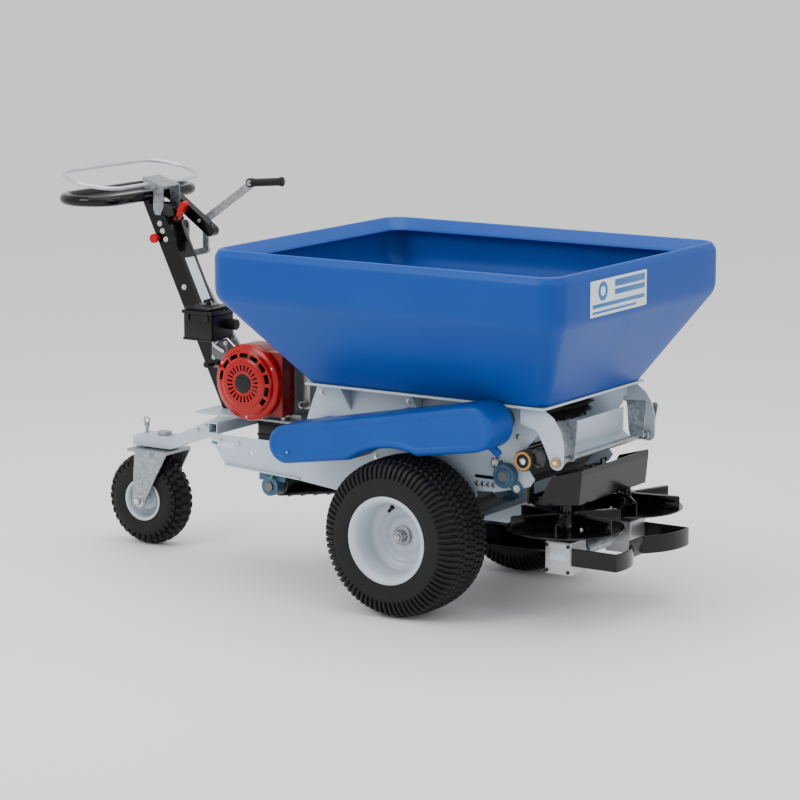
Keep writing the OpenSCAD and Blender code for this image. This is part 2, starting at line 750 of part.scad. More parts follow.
module caster_rim() on_caster() color([0.85, 0.88, 0.9]) rotate_extrude() {
    translate([47.5, -42.5]) square([3.8, 85]);
    translate([51, 38.7]) square([8.7, 3.8]);
    translate([51, -42.5]) square([8.7, 3.8]);
    polygon([[48, 2], [48, 6], [30, 22], [17, 22], [17, 17], [28, 17]]);
    translate([8 + run, -50]) square([10, 100]);
}

module lock_pin() at_axle() color(zinc) {
    cyl_z(-1062, 0, 5, 277.5, 342);
    translate([-1062, 0, 349]) rotate([90, 0, 0]) rotate_extrude() translate([9, 0]) circle(r = 2);
}

// ---- assembly ----

side_plate_right();
side_plate_left();
cross_members();
gooseneck_beam();
bearing_housings();
frame_bolts();
transaxle();
hopper();
hopper_frame();
gate_cheeks();
chain_cover();
drive_chains();
drive_belt();
engine_block();
engine_shroud();
recoil_cover();
air_cleaner();
carburettor();
muffler();
fuel_tank();
fuel_cap();
mast();
handlebar_loop();
lever_support();
spinner_arms();
spinner_gearboxes();
spinner_guard();
conveyor_belt();
discharge_hood();
drive_tyre_right();
drive_rim_right();
wheel_hub_right();
drive_tyre_left();
drive_rim_left();
wheel_hub_left();
caster_fork();
caster_tyre();
caster_rim();
lock_pin();
bail_bracket();
bail_rod();
throttle_lever();
stop_knob();
feed_lever();
lever_grip();
feed_link();
bell_crank();
feed_rod();
clutch_arm();
front_roller();
rear_roller();
beater_brush();
gate_crossbar();
gate_plate();
spinner_right();
spinner_left();
spinner_shaft();
crankshaft();
starter_handle();
jack_shaft();
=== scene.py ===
# %% [markdown]
# # Walk-behind garden spreader
# The machine is a blue moulded hopper on a white sheet-steel frame, with an engine, a conveyor,
# two spinner discs, drive wheels and a swivel caster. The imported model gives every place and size,
# so this lesson only builds surfaces and finishes around it. All lengths below are millimetres
# measured from the drive axle, because that is how a fitter would measure the machine.

# %% Load the frame
import json
import math

import bmesh
import bpy
import numpy as np
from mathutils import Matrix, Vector


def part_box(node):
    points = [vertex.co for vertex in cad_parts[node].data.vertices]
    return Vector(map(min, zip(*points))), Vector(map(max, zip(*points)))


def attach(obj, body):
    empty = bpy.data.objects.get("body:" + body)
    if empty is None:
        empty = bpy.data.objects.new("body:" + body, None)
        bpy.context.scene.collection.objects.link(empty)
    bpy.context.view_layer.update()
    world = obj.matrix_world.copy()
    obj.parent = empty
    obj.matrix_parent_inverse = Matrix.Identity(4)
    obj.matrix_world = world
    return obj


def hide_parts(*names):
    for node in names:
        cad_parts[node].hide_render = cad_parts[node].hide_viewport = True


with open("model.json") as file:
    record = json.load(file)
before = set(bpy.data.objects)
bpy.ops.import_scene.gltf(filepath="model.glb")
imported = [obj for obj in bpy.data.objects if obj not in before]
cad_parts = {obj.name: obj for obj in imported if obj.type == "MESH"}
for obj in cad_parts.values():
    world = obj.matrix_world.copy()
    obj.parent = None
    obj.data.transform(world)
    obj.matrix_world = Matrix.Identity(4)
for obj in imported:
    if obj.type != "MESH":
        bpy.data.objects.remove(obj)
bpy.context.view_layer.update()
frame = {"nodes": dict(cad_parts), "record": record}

MM = 0.001
TURN = 2 * math.pi
tyre_low, tyre_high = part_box("drive_tyre_right")
AXLE_X = (tyre_low[0] + tyre_high[0]) / 2
BODY_OF = {part: body for body, parts in frame["record"]["behaviour"]["bodies"].items() for part in parts}
SLOT_OF = {row["node"]: row["material_slot"] for row in frame["record"]["subparts"]}
print("axle at", round(AXLE_X, 4), "with", len(SLOT_OF), "nodes")


def place(points):
    """Millimetres from the axle to metres in the frame: scale by a thousandth, then move along X."""
    return np.asarray(points, float) * MM + (AXLE_X, 0.0, 0.0)


# %% [markdown]
# ## Camera, floor and light
# A product picture is taken with a long lens from hip height, on a white sweep under large soft boxes.
# A perspective camera with a long focal length keeps the far side of the hopper nearly as large as
# the near side. The floor is one big plane, and wide area lamps keep every shadow soft.

# %% Camera
AZIMUTH = math.radians(32.87)
ELEVATION = math.radians(10.07)
lens = bpy.data.cameras.new("camera")
lens.sensor_width = 36.0
lens.lens = 145.9
camera = bpy.data.objects.new("camera", lens)
bpy.context.collection.objects.link(camera)
camera.location = place((4382.6, -7119.5, 1993.0))
look = Vector((-math.sin(AZIMUTH) * math.cos(ELEVATION), math.cos(AZIMUTH) * math.cos(ELEVATION),
               -math.sin(ELEVATION)))
camera.rotation_euler = look.to_track_quat("-Z", "Y").to_euler()
bpy.context.scene.camera = camera


# %% [markdown]
# ### Nodes and colours
# A material is a tree of nodes, and most nodes need the same three steps: make it, set its choices, and
# give each input a value or a link. One helper does all three. Colours are judged on a screen but
# shaders want linear light, so a second helper converts them.


# %% Shader helpers
def add(tree, kind, inputs=None, **properties):
    """A shader node with its properties set and its inputs given a value or linked to a socket."""
    made = tree.nodes.new("ShaderNode" + kind)
    for key, value in properties.items():
        setattr(made, key, value)
    for key, value in (inputs or {}).items():
        if isinstance(value, bpy.types.NodeSocket):
            tree.links.new(value, made.inputs[key])
        else:
            made.inputs[key].default_value = value
    return made


def rgb(red, green, blue):
    """A screen colour from 0 to 255 as the linear colour a shader needs: ((c + 0.055) / 1.055) to 2.4."""
    screen = np.array((red, green, blue)) / 255.0
    linear = np.where(screen < 0.04045, screen / 12.92, ((screen + 0.055) / 1.055) ** 2.4)
    return (*linear.tolist(), 1.0)


# %% [markdown]
# ### The sweep
# Real sweeps are rolls of matt paper. A plane wide enough to reach past the view does the same, and a
# faint noise in its colour keeps it from looking like a flat fill.

# %% Floor
floor_mesh = bpy.data.meshes.new("studio_floor")
REACH = 40.0
floor_mesh.from_pydata([(-REACH, -REACH, 0), (REACH, -REACH, 0), (REACH, REACH, 0), (-REACH, REACH, 0)], [],
                       [(0, 1, 2, 3)])
floor = bpy.data.objects.new("studio_floor", floor_mesh)
bpy.context.collection.objects.link(floor)
floor_paint = bpy.data.materials.new("studio_floor")
floor_paint.use_nodes = True
floor_shader = floor_paint.node_tree.nodes["Principled BSDF"]
floor_noise = add(floor_paint.node_tree, "TexNoise", {"Scale": 0.8})
floor_ramp = add(floor_paint.node_tree, "MixRGB", {"Fac": floor_noise.outputs["Fac"],
                                                   "Color1": (0.9, 0.9, 0.9, 1),
                                                   "Color2": (0.93, 0.93, 0.93, 1)})
floor_paint.node_tree.links.new(floor_ramp.outputs["Color"], floor_shader.inputs["Base Color"])
floor_shader.inputs["Roughness"].default_value = 0.6
floor_mesh.materials.append(floor_paint)

# %% [markdown]
# ### Sky and soft boxes
# An even white sky fills every shadow, as a white room does. Three area lamps then give the shape: a
# large one overhead, one at the side and a small one that brightens the discharge end.

# %% World and lamps
world = bpy.data.worlds.new("studio")
world.use_nodes = True
world.node_tree.nodes["Background"].inputs["Color"].default_value = (1.0, 1.0, 1.0, 1.0)
world.node_tree.nodes["Background"].inputs["Strength"].default_value = 1.05
bpy.context.scene.world = world


def soft_box(name, spot, target, size, power):
    """A square area lamp at spot, in metres, turned towards target."""
    lamp = bpy.data.lights.new(name, "AREA")
    lamp.size = size
    lamp.energy = power
    holder = bpy.data.objects.new(name, lamp)
    bpy.context.collection.objects.link(holder)
    holder.location = spot
    holder.rotation_euler = (Vector(target) - Vector(spot)).to_track_quat("-Z", "Y").to_euler()


soft_box("overhead_box", (0.2, 0.1, 3.2), (0, 0, 0.4), 3.0, 80)
soft_box("side_box", (-1.0, -3.4, 3.0), (0, 0, 0.6), 1.8, 60)
soft_box("front_box", (3.4, -0.6, 1.9), (0.2, 0, 0.6), 1.4, 14)

# %% [markdown]
# ## Shared effects
# Moulded plastic, paint, zinc and rubber differ mostly in three things: how their colour drifts over
# the surface, how fine their grain is, and what happens at edges and on top faces. Each of these is a
# node group with named sockets, so that one effect serves many materials with its own values.


# %% Group helper
def group(name, inputs, outputs):
    """An empty shader group with named sockets; returns its tree, its inputs and its outputs."""
    tree = bpy.data.node_groups.new(name, "ShaderNodeTree")
    for label, kind, start in inputs:
        socket = tree.interface.new_socket(name=label, in_out="INPUT", socket_type="NodeSocket" + kind)
        socket.default_value = start
    for label, kind in outputs:
        tree.interface.new_socket(name=label, in_out="OUTPUT", socket_type="NodeSocket" + kind)
    entry = tree.nodes.new("NodeGroupInput")
    leave = tree.nodes.new("NodeGroupOutput")
    return tree, entry.outputs, leave.inputs


# %% [markdown]
# ### Colour drift
# A moulding or a sprayed panel is never one colour. Layered noise is cheap and has no seams, so it mixes
# two close colours slowly over the surface, and its mask is kept for the gloss.


# %% Colour drift
def mottle_group():
    """Colour drift: layered noise on object coordinates mixes two colours."""
    tree, given, result = group("colour_drift", [("Colour", "Color", (1, 1, 1, 1)),
                                                 ("Second", "Color", (0, 0, 0, 1)),
                                                 ("Scale", "Float", 10.0), ("Contrast", "Float", 1.0)],
                                [("Colour", "Color"), ("Mask", "Float")])
    place_node = add(tree, "TexCoord")
    noise = add(tree, "TexNoise", {"Vector": place_node.outputs["Object"], "Scale": given["Scale"],
                                   "Detail": 5.0, "Roughness": 0.6})
    centred = add(tree, "Math", {0: noise.outputs["Fac"], 1: 0.5}, operation="SUBTRACT")
    spread = add(tree, "Math", {0: centred.outputs[0], 1: given["Contrast"], 2: 0.5},
                 operation="MULTIPLY_ADD", use_clamp=True)
    mixed = add(tree, "MixRGB", {"Fac": spread.outputs[0], "Color1": given["Colour"],
                                 "Color2": given["Second"]})
    tree.links.new(mixed.outputs["Color"], result["Colour"])
    tree.links.new(spread.outputs[0], result["Mask"])
    return tree


# %% [markdown]
# ### Grain
# Sand casting, rubber and orange-peel paint differ in the size and depth of their grain. Two noises, one
# fine and one about ten times wider, give a height for a bump without adding any faces.


# %% Grain
def grain_group():
    """Grain: fine noise plus a coarser one, as a height."""
    tree, given, result = group("surface_grain", [("Scale", "Float", 400.0), ("Coarse", "Float", 0.3)],
                                [("Height", "Float")])
    place_node = add(tree, "TexCoord")
    fine = add(tree, "TexNoise", {"Vector": place_node.outputs["Object"], "Scale": given["Scale"],
                                  "Detail": 3.0})
    wide = add(tree, "Math", {0: given["Scale"], 1: 0.08}, operation="MULTIPLY")
    coarse = add(tree, "TexNoise", {"Vector": place_node.outputs["Object"], "Scale": wide.outputs[0],
                                    "Detail": 2.0})
    total = add(tree, "Math", {0: coarse.outputs["Fac"], 1: given["Coarse"], 2: fine.outputs["Fac"]},
                operation="MULTIPLY_ADD")
    tree.links.new(total.outputs[0], result["Height"])
    return tree


# %% [markdown]
# ### Edge wear
# Paint goes first from sharp edges. A rounded normal differs from the true one only near an edge, so
# their difference finds edges without any painting by hand, and noise breaks it into chips.


# %% Edge wear
def wear_group():
    """Edge wear: where the rounded normal leaves the true normal, broken up by noise."""
    tree, given, result = group("edge_wear", [("Width", "Float", 0.002), ("Scale", "Float", 60.0),
                                              ("Amount", "Float", 0.5)], [("Mask", "Float")])
    rounded_normal = add(tree, "Bevel", {"Radius": given["Width"]}, samples=4)
    true_normal = add(tree, "NewGeometry")
    match = add(tree, "VectorMath", {0: rounded_normal.outputs[0], 1: true_normal.outputs["Normal"]},
                operation="DOT_PRODUCT")
    edge = add(tree, "Math", {0: 1.0, 1: match.outputs["Value"]}, operation="SUBTRACT")
    place_node = add(tree, "TexCoord")
    noise = add(tree, "TexNoise", {"Vector": place_node.outputs["Object"], "Scale": given["Scale"],
                                   "Detail": 4.0})
    broken = add(tree, "Math", {0: edge.outputs[0], 1: noise.outputs["Fac"]}, operation="MULTIPLY")
    strong = add(tree, "Math", {0: given["Amount"], 1: 14.0}, operation="MULTIPLY")
    mask = add(tree, "Math", {0: broken.outputs[0], 1: strong.outputs[0], 2: -0.25},
               operation="MULTIPLY_ADD", use_clamp=True)
    tree.links.new(mask.outputs[0], result["Mask"])
    return tree


# %% [markdown]
# ### Dust and painted corner shade
# Dust settles on faces that look up, and shade is painted into corners. The first needs only the normal,
# and the second asks how much of the sky near a point is blocked.


# %% Dust and painted corner shade
def dust_group():
    """Settled dust: faces that look up, times patchy noise."""
    tree, given, result = group("settled_dust", [("Amount", "Float", 0.3), ("Scale", "Float", 30.0)],
                                [("Mask", "Float")])
    facing = add(tree, "NewGeometry")
    parts = add(tree, "SeparateXYZ", {0: facing.outputs["Normal"]})
    up = add(tree, "Math", {0: parts.outputs["Z"], 1: 0.7, 2: 0.3}, operation="MULTIPLY_ADD", use_clamp=True)
    place_node = add(tree, "TexCoord")
    noise = add(tree, "TexNoise", {"Vector": place_node.outputs["Object"], "Scale": given["Scale"],
                                   "Detail": 5.0})
    patch = add(tree, "Math", {0: up.outputs[0], 1: noise.outputs["Fac"]}, operation="MULTIPLY")
    mask = add(tree, "Math", {0: patch.outputs[0], 1: given["Amount"]}, operation="MULTIPLY", use_clamp=True)
    tree.links.new(mask.outputs[0], result["Mask"])
    return tree


def corner_shade_group():
    """Painted shade in corners: how much of the sky near a point is blocked, within a reach."""
    tree, given, result = group("painted_corner_shade", [("Reach", "Float", 0.03), ("Amount", "Float", 0.6)],
                                [("Mask", "Float")])
    open_sky = add(tree, "AmbientOcclusion", {"Distance": given["Reach"]}, samples=6)
    closed = add(tree, "Math", {0: 1.0, 1: open_sky.outputs["AO"]}, operation="SUBTRACT")
    mask = add(tree, "Math", {0: closed.outputs[0], 1: given["Amount"]}, operation="MULTIPLY", use_clamp=True)
    tree.links.new(mask.outputs[0], result["Mask"])
    return tree


# %% [markdown]
# ### Zinc spangle
# Hot-dip zinc freezes in crystals, each a slightly different grey. Voronoi cells are the same kind of
# pattern: every point takes the value of its nearest seed.


# %% Zinc spangle
def spangle_group():
    """Zinc spangle: crystals as cells of one grey each, with thin seams."""
    tree, given, result = group("zinc_spangle", [("Scale", "Float", 90.0),
                                                 ("Dark", "Color", (0.3, 0.3, 0.3, 1)),
                                                 ("Light", "Color", (0.6, 0.6, 0.6, 1))],
                                [("Colour", "Color"), ("Mask", "Float")])
    place_node = add(tree, "TexCoord")
    cells = add(tree, "TexVoronoi", {"Vector": place_node.outputs["Object"], "Scale": given["Scale"]})
    grey = add(tree, "RGBToBW", {0: cells.outputs["Color"]})
    mixed = add(tree, "MixRGB", {"Fac": grey.outputs[0], "Color1": given["Dark"], "Color2": given["Light"]})
    tree.links.new(mixed.outputs["Color"], result["Colour"])
    tree.links.new(grey.outputs[0], result["Mask"])
    return tree


DRIFT, GRAIN, WEAR = mottle_group(), grain_group(), wear_group()
DUST, CORNER_SHADE, SPANGLE = dust_group(), corner_shade_group(), spangle_group()
print("effects:", ", ".join(tree.name for tree in (DRIFT, GRAIN, WEAR, DUST, CORNER_SHADE, SPANGLE)))


# %% [markdown]
# ## One recipe for every finish
# The recipe drifts the colour, lays dust on top faces, paints shade into corners, opens worn edges to bare
# metal, varies the gloss with the same drift and adds grain as a bump. Values that are the same all over,
# such as metallic or coat, are set straight on the shader.

# %% Placing a group
FINISH = {}


def effect(tree, source, **values):
    """Places a group in a material's tree with its inputs set or linked."""
    made = tree.nodes.new("ShaderNodeGroup")
    made.node_tree = source
    for key, value in values.items():
        if isinstance(value, bpy.types.NodeSocket):
            tree.links.new(value, made.inputs[key])
        else:
            made.inputs[key].default_value = value
    return made


# %% [markdown]
# ### The recipe itself
# The layers go on in this order: colour first, then dust, then shade painted into corners, then wear
# through to metal. Every layer is a mask and a mix, so a finish that lacks one skips it.


# %% The recipe
def finish(name, colour, second, scale=8.0, contrast=1.5, gloss=(0.4, 0.5), grain=(400.0, 0.02), metal=0.0,
           coat=0.0, wear=None, dust=None, spangle=None, shine=0.5, corner_shade=0.0):
    """A material: drifted colour, optional spangle, dust, painted corner shade and worn edges, then roughness
    and grain.
    """
    material = bpy.data.materials.new(name)
    material.use_nodes = True
    tree = material.node_tree
    shader = tree.nodes["Principled BSDF"]
    if spangle:
        drift = effect(tree, SPANGLE, Scale=spangle, Dark=colour, Light=second)
    else:
        drift = effect(tree, DRIFT, Colour=colour, Second=second, Scale=scale, Contrast=contrast)
    paint = drift.outputs["Colour"]
    low, high = gloss
    rough = add(tree, "MapRange", {"Value": drift.outputs["Mask"], "To Min": low, "To Max": high}).outputs[0]
    if dust:
        amount, dust_colour = dust
        mask = effect(tree, DUST, Amount=amount, Scale=22.0).outputs["Mask"]
        paint = add(tree, "MixRGB", {"Fac": mask, "Color1": paint, "Color2": dust_colour}).outputs["Color"]
        dulled = add(tree, "Math", {0: mask, 1: 0.4, 2: rough}, operation="MULTIPLY_ADD", use_clamp=True)
        rough = dulled.outputs[0]
    # Painted shade: where the sky is blocked close by, the colour is darkened towards 0.4 of itself.
    if corner_shade:
        mask = effect(tree, CORNER_SHADE, Reach=0.03, Amount=corner_shade).outputs["Mask"]
        dark = tuple(0.4 * level for level in colour[:3]) + (1.0,)
        paint = add(tree, "MixRGB", {"Fac": mask, "Color1": paint, "Color2": dark}).outputs["Color"]
    shader.inputs["Metallic"].default_value = metal
    if wear:
        amount, bare = wear
        mask = effect(tree, WEAR, Width=0.0016, Scale=90.0, Amount=amount).outputs["Mask"]
        paint = add(tree, "MixRGB", {"Fac": mask, "Color1": paint, "Color2": bare}).outputs["Color"]
        bared = add(tree, "Math", {0: mask, 1: 0.8, 2: metal}, operation="MULTIPLY_ADD", use_clamp=True)
        tree.links.new(bared.outputs[0], shader.inputs["Metallic"])
    tree.links.new(paint, shader.inputs["Base Color"])
    tree.links.new(rough, shader.inputs["Roughness"])
    size, depth = grain
    height = effect(tree, GRAIN, Scale=size, Coarse=0.5).outputs["Height"]
    bump = add(tree, "Bump", {"Height": height, "Strength": 0.35, "Distance": depth * MM})
    tree.links.new(bump.outputs["Normal"], shader.inputs["Normal"])
    shader.inputs["Specular IOR Level"].default_value = shine
    shader.inputs["Coat Weight"].default_value = coat
    shader.inputs["Coat Roughness"].default_value = 0.12
    FINISH[name] = material
    return material


# %% [markdown]
# ### Values for each finish
# Colours are given as they look on a screen. Plastics and rubbers get a lower shine than paint, blacks are
# kept off pure black, and bare metals put their difference into roughness rather than colour.

# %% Plastics, paints and metals
# Frame paint, the recoil housing and rim paint also get painted shade that darkens their corners.
STEEL = rgb(150, 152, 155)
DUSTY = rgb(120, 118, 112)
finish("hopper_plastic", rgb(0, 60, 140), rgb(0, 68, 152), 3.0, 1.6, (0.34, 0.46), (260.0, 0.5),
       dust=(0.05, rgb(40, 100, 160)), shine=0.22)
finish("cover_plastic", rgb(0, 64, 142), rgb(0, 74, 158), 5.0, 1.6, (0.32, 0.44), (260.0, 0.4),
       dust=(0.05, rgb(40, 100, 160)), shine=0.22)
finish("frame_paint", rgb(172, 188, 202), rgb(190, 204, 215), 7.0, 1.6, (0.26, 0.38), (150.0, 0.25),
       coat=0.25, wear=(0.35, STEEL), dust=(0.1, rgb(140, 142, 140)), corner_shade=0.6)
finish("bearing_paint", rgb(38, 70, 98), rgb(62, 96, 120), 30.0, 1.8, (0.35, 0.55), (300.0, 0.5),
       wear=(0.5, STEEL))
finish("fastener_zinc", rgb(196, 198, 200), rgb(222, 222, 220), 40.0, 1.5, (0.18, 0.34), (500.0, 0.15), 1.0)
finish("cast_grey", rgb(96, 98, 102), rgb(124, 126, 128), 25.0, 1.6, (0.45, 0.65), (420.0, 1.2), 0.6,
       dust=(0.2, DUSTY))
finish("chain_steel", rgb(52, 52, 56), rgb(84, 82, 80), 60.0, 1.6, (0.25, 0.45), (400.0, 0.3), 0.9)
finish("belt_rubber", rgb(14, 14, 15), rgb(26, 26, 27), 20.0, 1.6, (0.6, 0.8), (300.0, 1.0),
       dust=(0.3, DUSTY))
finish("engine_alloy", rgb(150, 152, 154), rgb(184, 185, 186), 22.0, 1.7, (0.32, 0.5), (380.0, 1.0), 0.85,
       dust=(0.15, DUSTY))
finish("fan_red", rgb(104, 0, 2), rgb(128, 2, 5), 12.0, 1.5, (0.2, 0.32), (200.0, 0.2), shine=0.35)
finish("recoil_red", rgb(150, 0, 2), rgb(172, 1, 4), 10.0, 1.5, (0.16, 0.26), (200.0, 0.2), shine=0.35,
       corner_shade=0.7)
finish("black_plastic", rgb(7, 7, 8), rgb(16, 16, 17), 18.0, 1.6, (0.28, 0.42), (320.0, 0.6),
       dust=(0.02, DUSTY), shine=0.3)
finish("muffler_steel", rgb(150, 150, 148), rgb(186, 184, 178), 30.0, 1.8, (0.35, 0.55), (300.0, 0.5), 0.9)
finish("black_paint", rgb(3, 3, 3), rgb(8, 8, 8), 10.0, 1.5, (0.08, 0.18), (160.0, 0.2),
       wear=(0.12, STEEL), dust=(0.01, DUSTY), shine=0.3)
finish("gearbox_alloy", rgb(172, 174, 176), rgb(196, 197, 198), 26.0, 1.5, (0.3, 0.46), (350.0, 0.6), 0.75,
       wear=(0.3, rgb(220, 220, 220)))
finish("tyre_rubber", rgb(10, 10, 11), rgb(20, 20, 21), 24.0, 1.7, (0.42, 0.6), (420.0, 1.0),
       dust=(0.03, rgb(80, 80, 78)), shine=0.25)
finish("rim_paint", rgb(176, 188, 198), rgb(192, 202, 210), 9.0, 1.5, (0.24, 0.36), (170.0, 0.25), coat=0.3,
       dust=(0.1, rgb(160, 160, 156)), corner_shade=0.5)
finish("zinc_plate", rgb(128, 133, 137), rgb(176, 181, 184), gloss=(0.28, 0.46), grain=(300.0, 0.3),
       metal=0.85, spangle=140.0, dust=(0.1, DUSTY))
finish("bail_wire", rgb(188, 192, 196), rgb(212, 215, 218), 12.0, 1.2, (0.3, 0.4), (300.0, 0.03), 0.75)
finish("red_plastic", rgb(160, 0, 4), rgb(180, 2, 6), 30.0, 1.4, (0.24, 0.36), (300.0, 0.2), shine=0.3)
finish("bristle", rgb(8, 8, 8), rgb(20, 20, 20), 70.0, 1.6, (0.5, 0.7), (500.0, 0.4))
finish("roller_steel", rgb(92, 92, 94), rgb(128, 126, 122), 40.0, 1.6, (0.3, 0.5), (300.0, 0.3), 0.85)
finish("label_white", rgb(206, 216, 226), rgb(216, 224, 232), 12.0, 1.4, (0.3, 0.4), (200.0, 0.1))
finish("label_blue", rgb(20, 90, 160), rgb(40, 108, 176), 40.0, 1.4, (0.3, 0.4), (200.0, 0.1))
finish("cap_green", rgb(14, 128, 74), rgb(24, 150, 90), 60.0, 1.4, (0.35, 0.5), (300.0, 0.2))
finish("bronze", rgb(176, 128, 74), rgb(200, 150, 96), 60.0, 1.5, (0.3, 0.45), (300.0, 0.2), 0.9)
print(len(FINISH), "finishes")

# %% [markdown]
# ## Surface tools
# Every new piece is a grid of points worked out as whole arrays. A loft joins rings of points, a lathe
# turns a profile, a tube carries a circle along a path, and a plate draws an outline in a little at both
# faces so that its edges catch the light. The signed volume says which way the faces point.


# %% Facing outwards, and lofts
def outward(points, groups):
    """Faces turned over if their signed volume, the sum of a . (b x c) over triangles, is negative."""
    volume = 0.0
    for faces in groups:
        corner = points[faces]
        fans = np.cross(corner[:, 1:-1], corner[:, 2:])
        volume += np.einsum("mk,mck->", corner[:, 0], fans)
    return points, [faces[:, ::-1] for faces in groups] if volume < 0 else groups


def loft(rings, closed=False):
    """Quads between neighbouring rings of a (rows, columns, 3) grid; open ends get one flat face each."""
    rows, columns = rings.shape[:2]
    index = np.arange(rows * columns).reshape(rows, columns)
    ends = [] if closed else [index[:1, ::-1], index[-1:]]
    if closed:
        index = np.vstack([index, index[:1]])
    index = np.hstack([index, index[:, :1]])
    quads = np.stack([index[:-1, :-1], index[:-1, 1:], index[1:, 1:], index[1:, :-1]], -1).reshape(-1, 4)
    return outward(rings.reshape(-1, 3), [quads, *ends])


# %% [markdown]
# ### Lathe and tube
# Wheels, pins and caps are turned parts, and handles are bent tube. Both are a loft whose rings are
# worked out at once: a profile swept round an axis, or a circle carried along a path.


# %% Lathe and tube
def turned(points, axis):
    """Points whose local Z is laid along axis: p.x u + p.y v + p.z w for a square set u, v, w."""
    w = np.asarray(axis, float) / np.linalg.norm(axis)
    side = np.array((0.0, 0.0, 1.0)) if abs(w[2]) < 0.9 else np.array((1.0, 0.0, 0.0))
    u = np.cross(side, w)
    u /= np.linalg.norm(u)
    return points @ np.stack([u, np.cross(w, u), w])


def lathe(profile, centre, axis=(0, 0, 1), sides=48, closed=False, phase=0.0):
    """A profile of (radius, height) turned round axis: (r cos t, r sin t, h)."""
    radius, height = np.asarray(profile, float).T[:, :, None]
    angle = phase + np.linspace(0, TURN, sides, endpoint=False)
    rings = np.stack([radius * np.cos(angle), radius * np.sin(angle), height + 0 * angle], -1)
    return loft(turned(rings, axis) + np.asarray(centre, float), closed)


def tube(path, radius, normal, sides=14, closed=False):
    """A circle carried along a path: path + r (cos t u + sin t n), u across the path in its plane."""
    path = np.asarray(path, float)
    if closed:
        along = np.roll(path, -1, 0) - np.roll(path, 1, 0)
    else:
        along = np.gradient(path, axis=0)
    across = np.cross(np.broadcast_to(normal, path.shape), along)
    across /= np.linalg.norm(across, axis=1)[:, None]
    lift = np.cross(along, across)
    lift /= np.linalg.norm(lift, axis=1)[:, None]
    angle = np.linspace(0, TURN, sides, endpoint=False)[None, :, None]
    rings = path[:, None] + radius * (np.cos(angle) * across[:, None] + np.sin(angle) * lift[:, None])
    return loft(rings, closed)


# %% [markdown]
# ### Outlines
# Sheet and moulded parts start as an outline. Moving it in along each corner's mitre gives the next
# step of a soft edge, and a quadratic curve at each corner gives a pressed radius.


# %% Outlines
def drawn_in(outline, distance):
    """A closed outline moved inwards along the mitre of its two edges."""
    before = outline - np.roll(outline, 1, 0)
    after = np.roll(outline, -1, 0) - outline
    turn = np.array([[0, 1], [-1, 0]])
    first = before @ turn / np.linalg.norm(before, axis=1)[:, None]
    second = after @ turn / np.linalg.norm(after, axis=1)[:, None]
    mitre = (first + second) / np.maximum(1 + (first * second).sum(1), 0.35)[:, None]
    x, y = outline.T
    area = (x * np.roll(y, -1) - y * np.roll(x, -1)).sum()
    return outline + distance * np.sign(area) * mitre


def rounded(points, radius, steps=5):
    """Each corner becomes a quadratic curve that starts and ends radius away along its two edges."""
    points = np.asarray(points, float)
    radius = np.broadcast_to(np.asarray(radius, float), len(points))[:, None]
    before = np.roll(points, 1, 0) - points
    after = np.roll(points, -1, 0) - points
    reach = [np.minimum(radius / np.linalg.norm(e, axis=1)[:, None], 0.45) * e for e in (before, after)]
    t = np.linspace(0, 1, steps)[None, :, None]
    start, end, corner = (points + reach[0])[:, None], (points + reach[1])[:, None], points[:, None]
    return ((1 - t) ** 2 * start + 2 * t * (1 - t) * corner + t ** 2 * end).reshape(-1, points.shape[1])


# %% [markdown]
# ### Plates, blocks and bars
# A plate is six copies of one outline, drawn in a little near each face. That gives a real rounded edge
# for a few faces, with no modifier to wait for.


# %% Plates, blocks and bars
def plate(outline, low, high, soft=0.8, across="y"):
    """A slab between low and high whose outline is drawn in by soft at both faces."""
    outline = np.asarray(outline, float)
    steps = ((soft, low), (0.3 * soft, low + 0.3 * soft), (0, low + soft), (0, high - soft),
             (0.3 * soft, high - 0.3 * soft), (soft, high))
    rings = []
    for inset, level in steps:
        a, b = drawn_in(outline, inset).T
        flat = np.full_like(a, level)
        rings.append(np.stack({"x": (flat, a, b), "y": (a, flat, b), "z": (a, b, flat)}[across], -1))
    return loft(np.array(rings))


def block(x0, x1, y0, y1, z0, z1, corner=4.0, soft=1.5):
    """A box standing on Z with rounded upright corners and soft top and bottom edges."""
    outline = rounded([(x0, y0), (x1, y0), (x1, y1), (x0, y1)], corner)
    return plate(outline, z0, z1, soft, "z")


def strap(start, end, width, steps=9):
    """The outline of a flat bar with round ends between two points."""
    start, end = np.asarray(start, float), np.asarray(end, float)
    lean = math.atan2(*(end - start)[::-1])
    arc = np.linspace(-math.pi / 2, math.pi / 2, steps) + lean
    far = end + width / 2 * np.stack([np.cos(arc), np.sin(arc)], -1)
    near = start - width / 2 * np.stack([np.cos(arc), np.sin(arc)], -1)
    return np.vstack([far, near])


# %% [markdown]
# ### Bolts
# A bolt head is a six-sided lathe with a chamfer on a washer. A six-sided turn is the simplest hexagon.


# %% Bolts
def bolt(centre, axis, size=10.0, washer=True):
    """A hexagon head with a chamfer on a washer, standing along axis."""
    r, h = size * 0.58, size * 0.55
    parts = []
    base = 0.0
    if washer:
        parts.append(lathe([(r * 1.5, 0), (r * 1.5, 1.2), (r * 1.42, 1.6), (r * 0.6, 1.6)], centre, axis, 24))
        base = 1.4
    head = [(r * 0.96, base), (r, base + 0.6), (r, base + h * 0.8), (r * 0.86, base + h)]
    parts.append(lathe(head, centre, axis, 6))
    return parts


print("a bolt is", sum(len(faces) for _, groups in bolt((0, 0, 0), (0, 0, 1)) for faces in groups), "faces")

# %% [markdown]
# ## Putting parts into one object
# A piece is often several closed parts, such as a box, its lid and its screws. Their points and faces are
# joined as arrays and handed to the mesh in one go, each face with the number of its finish.


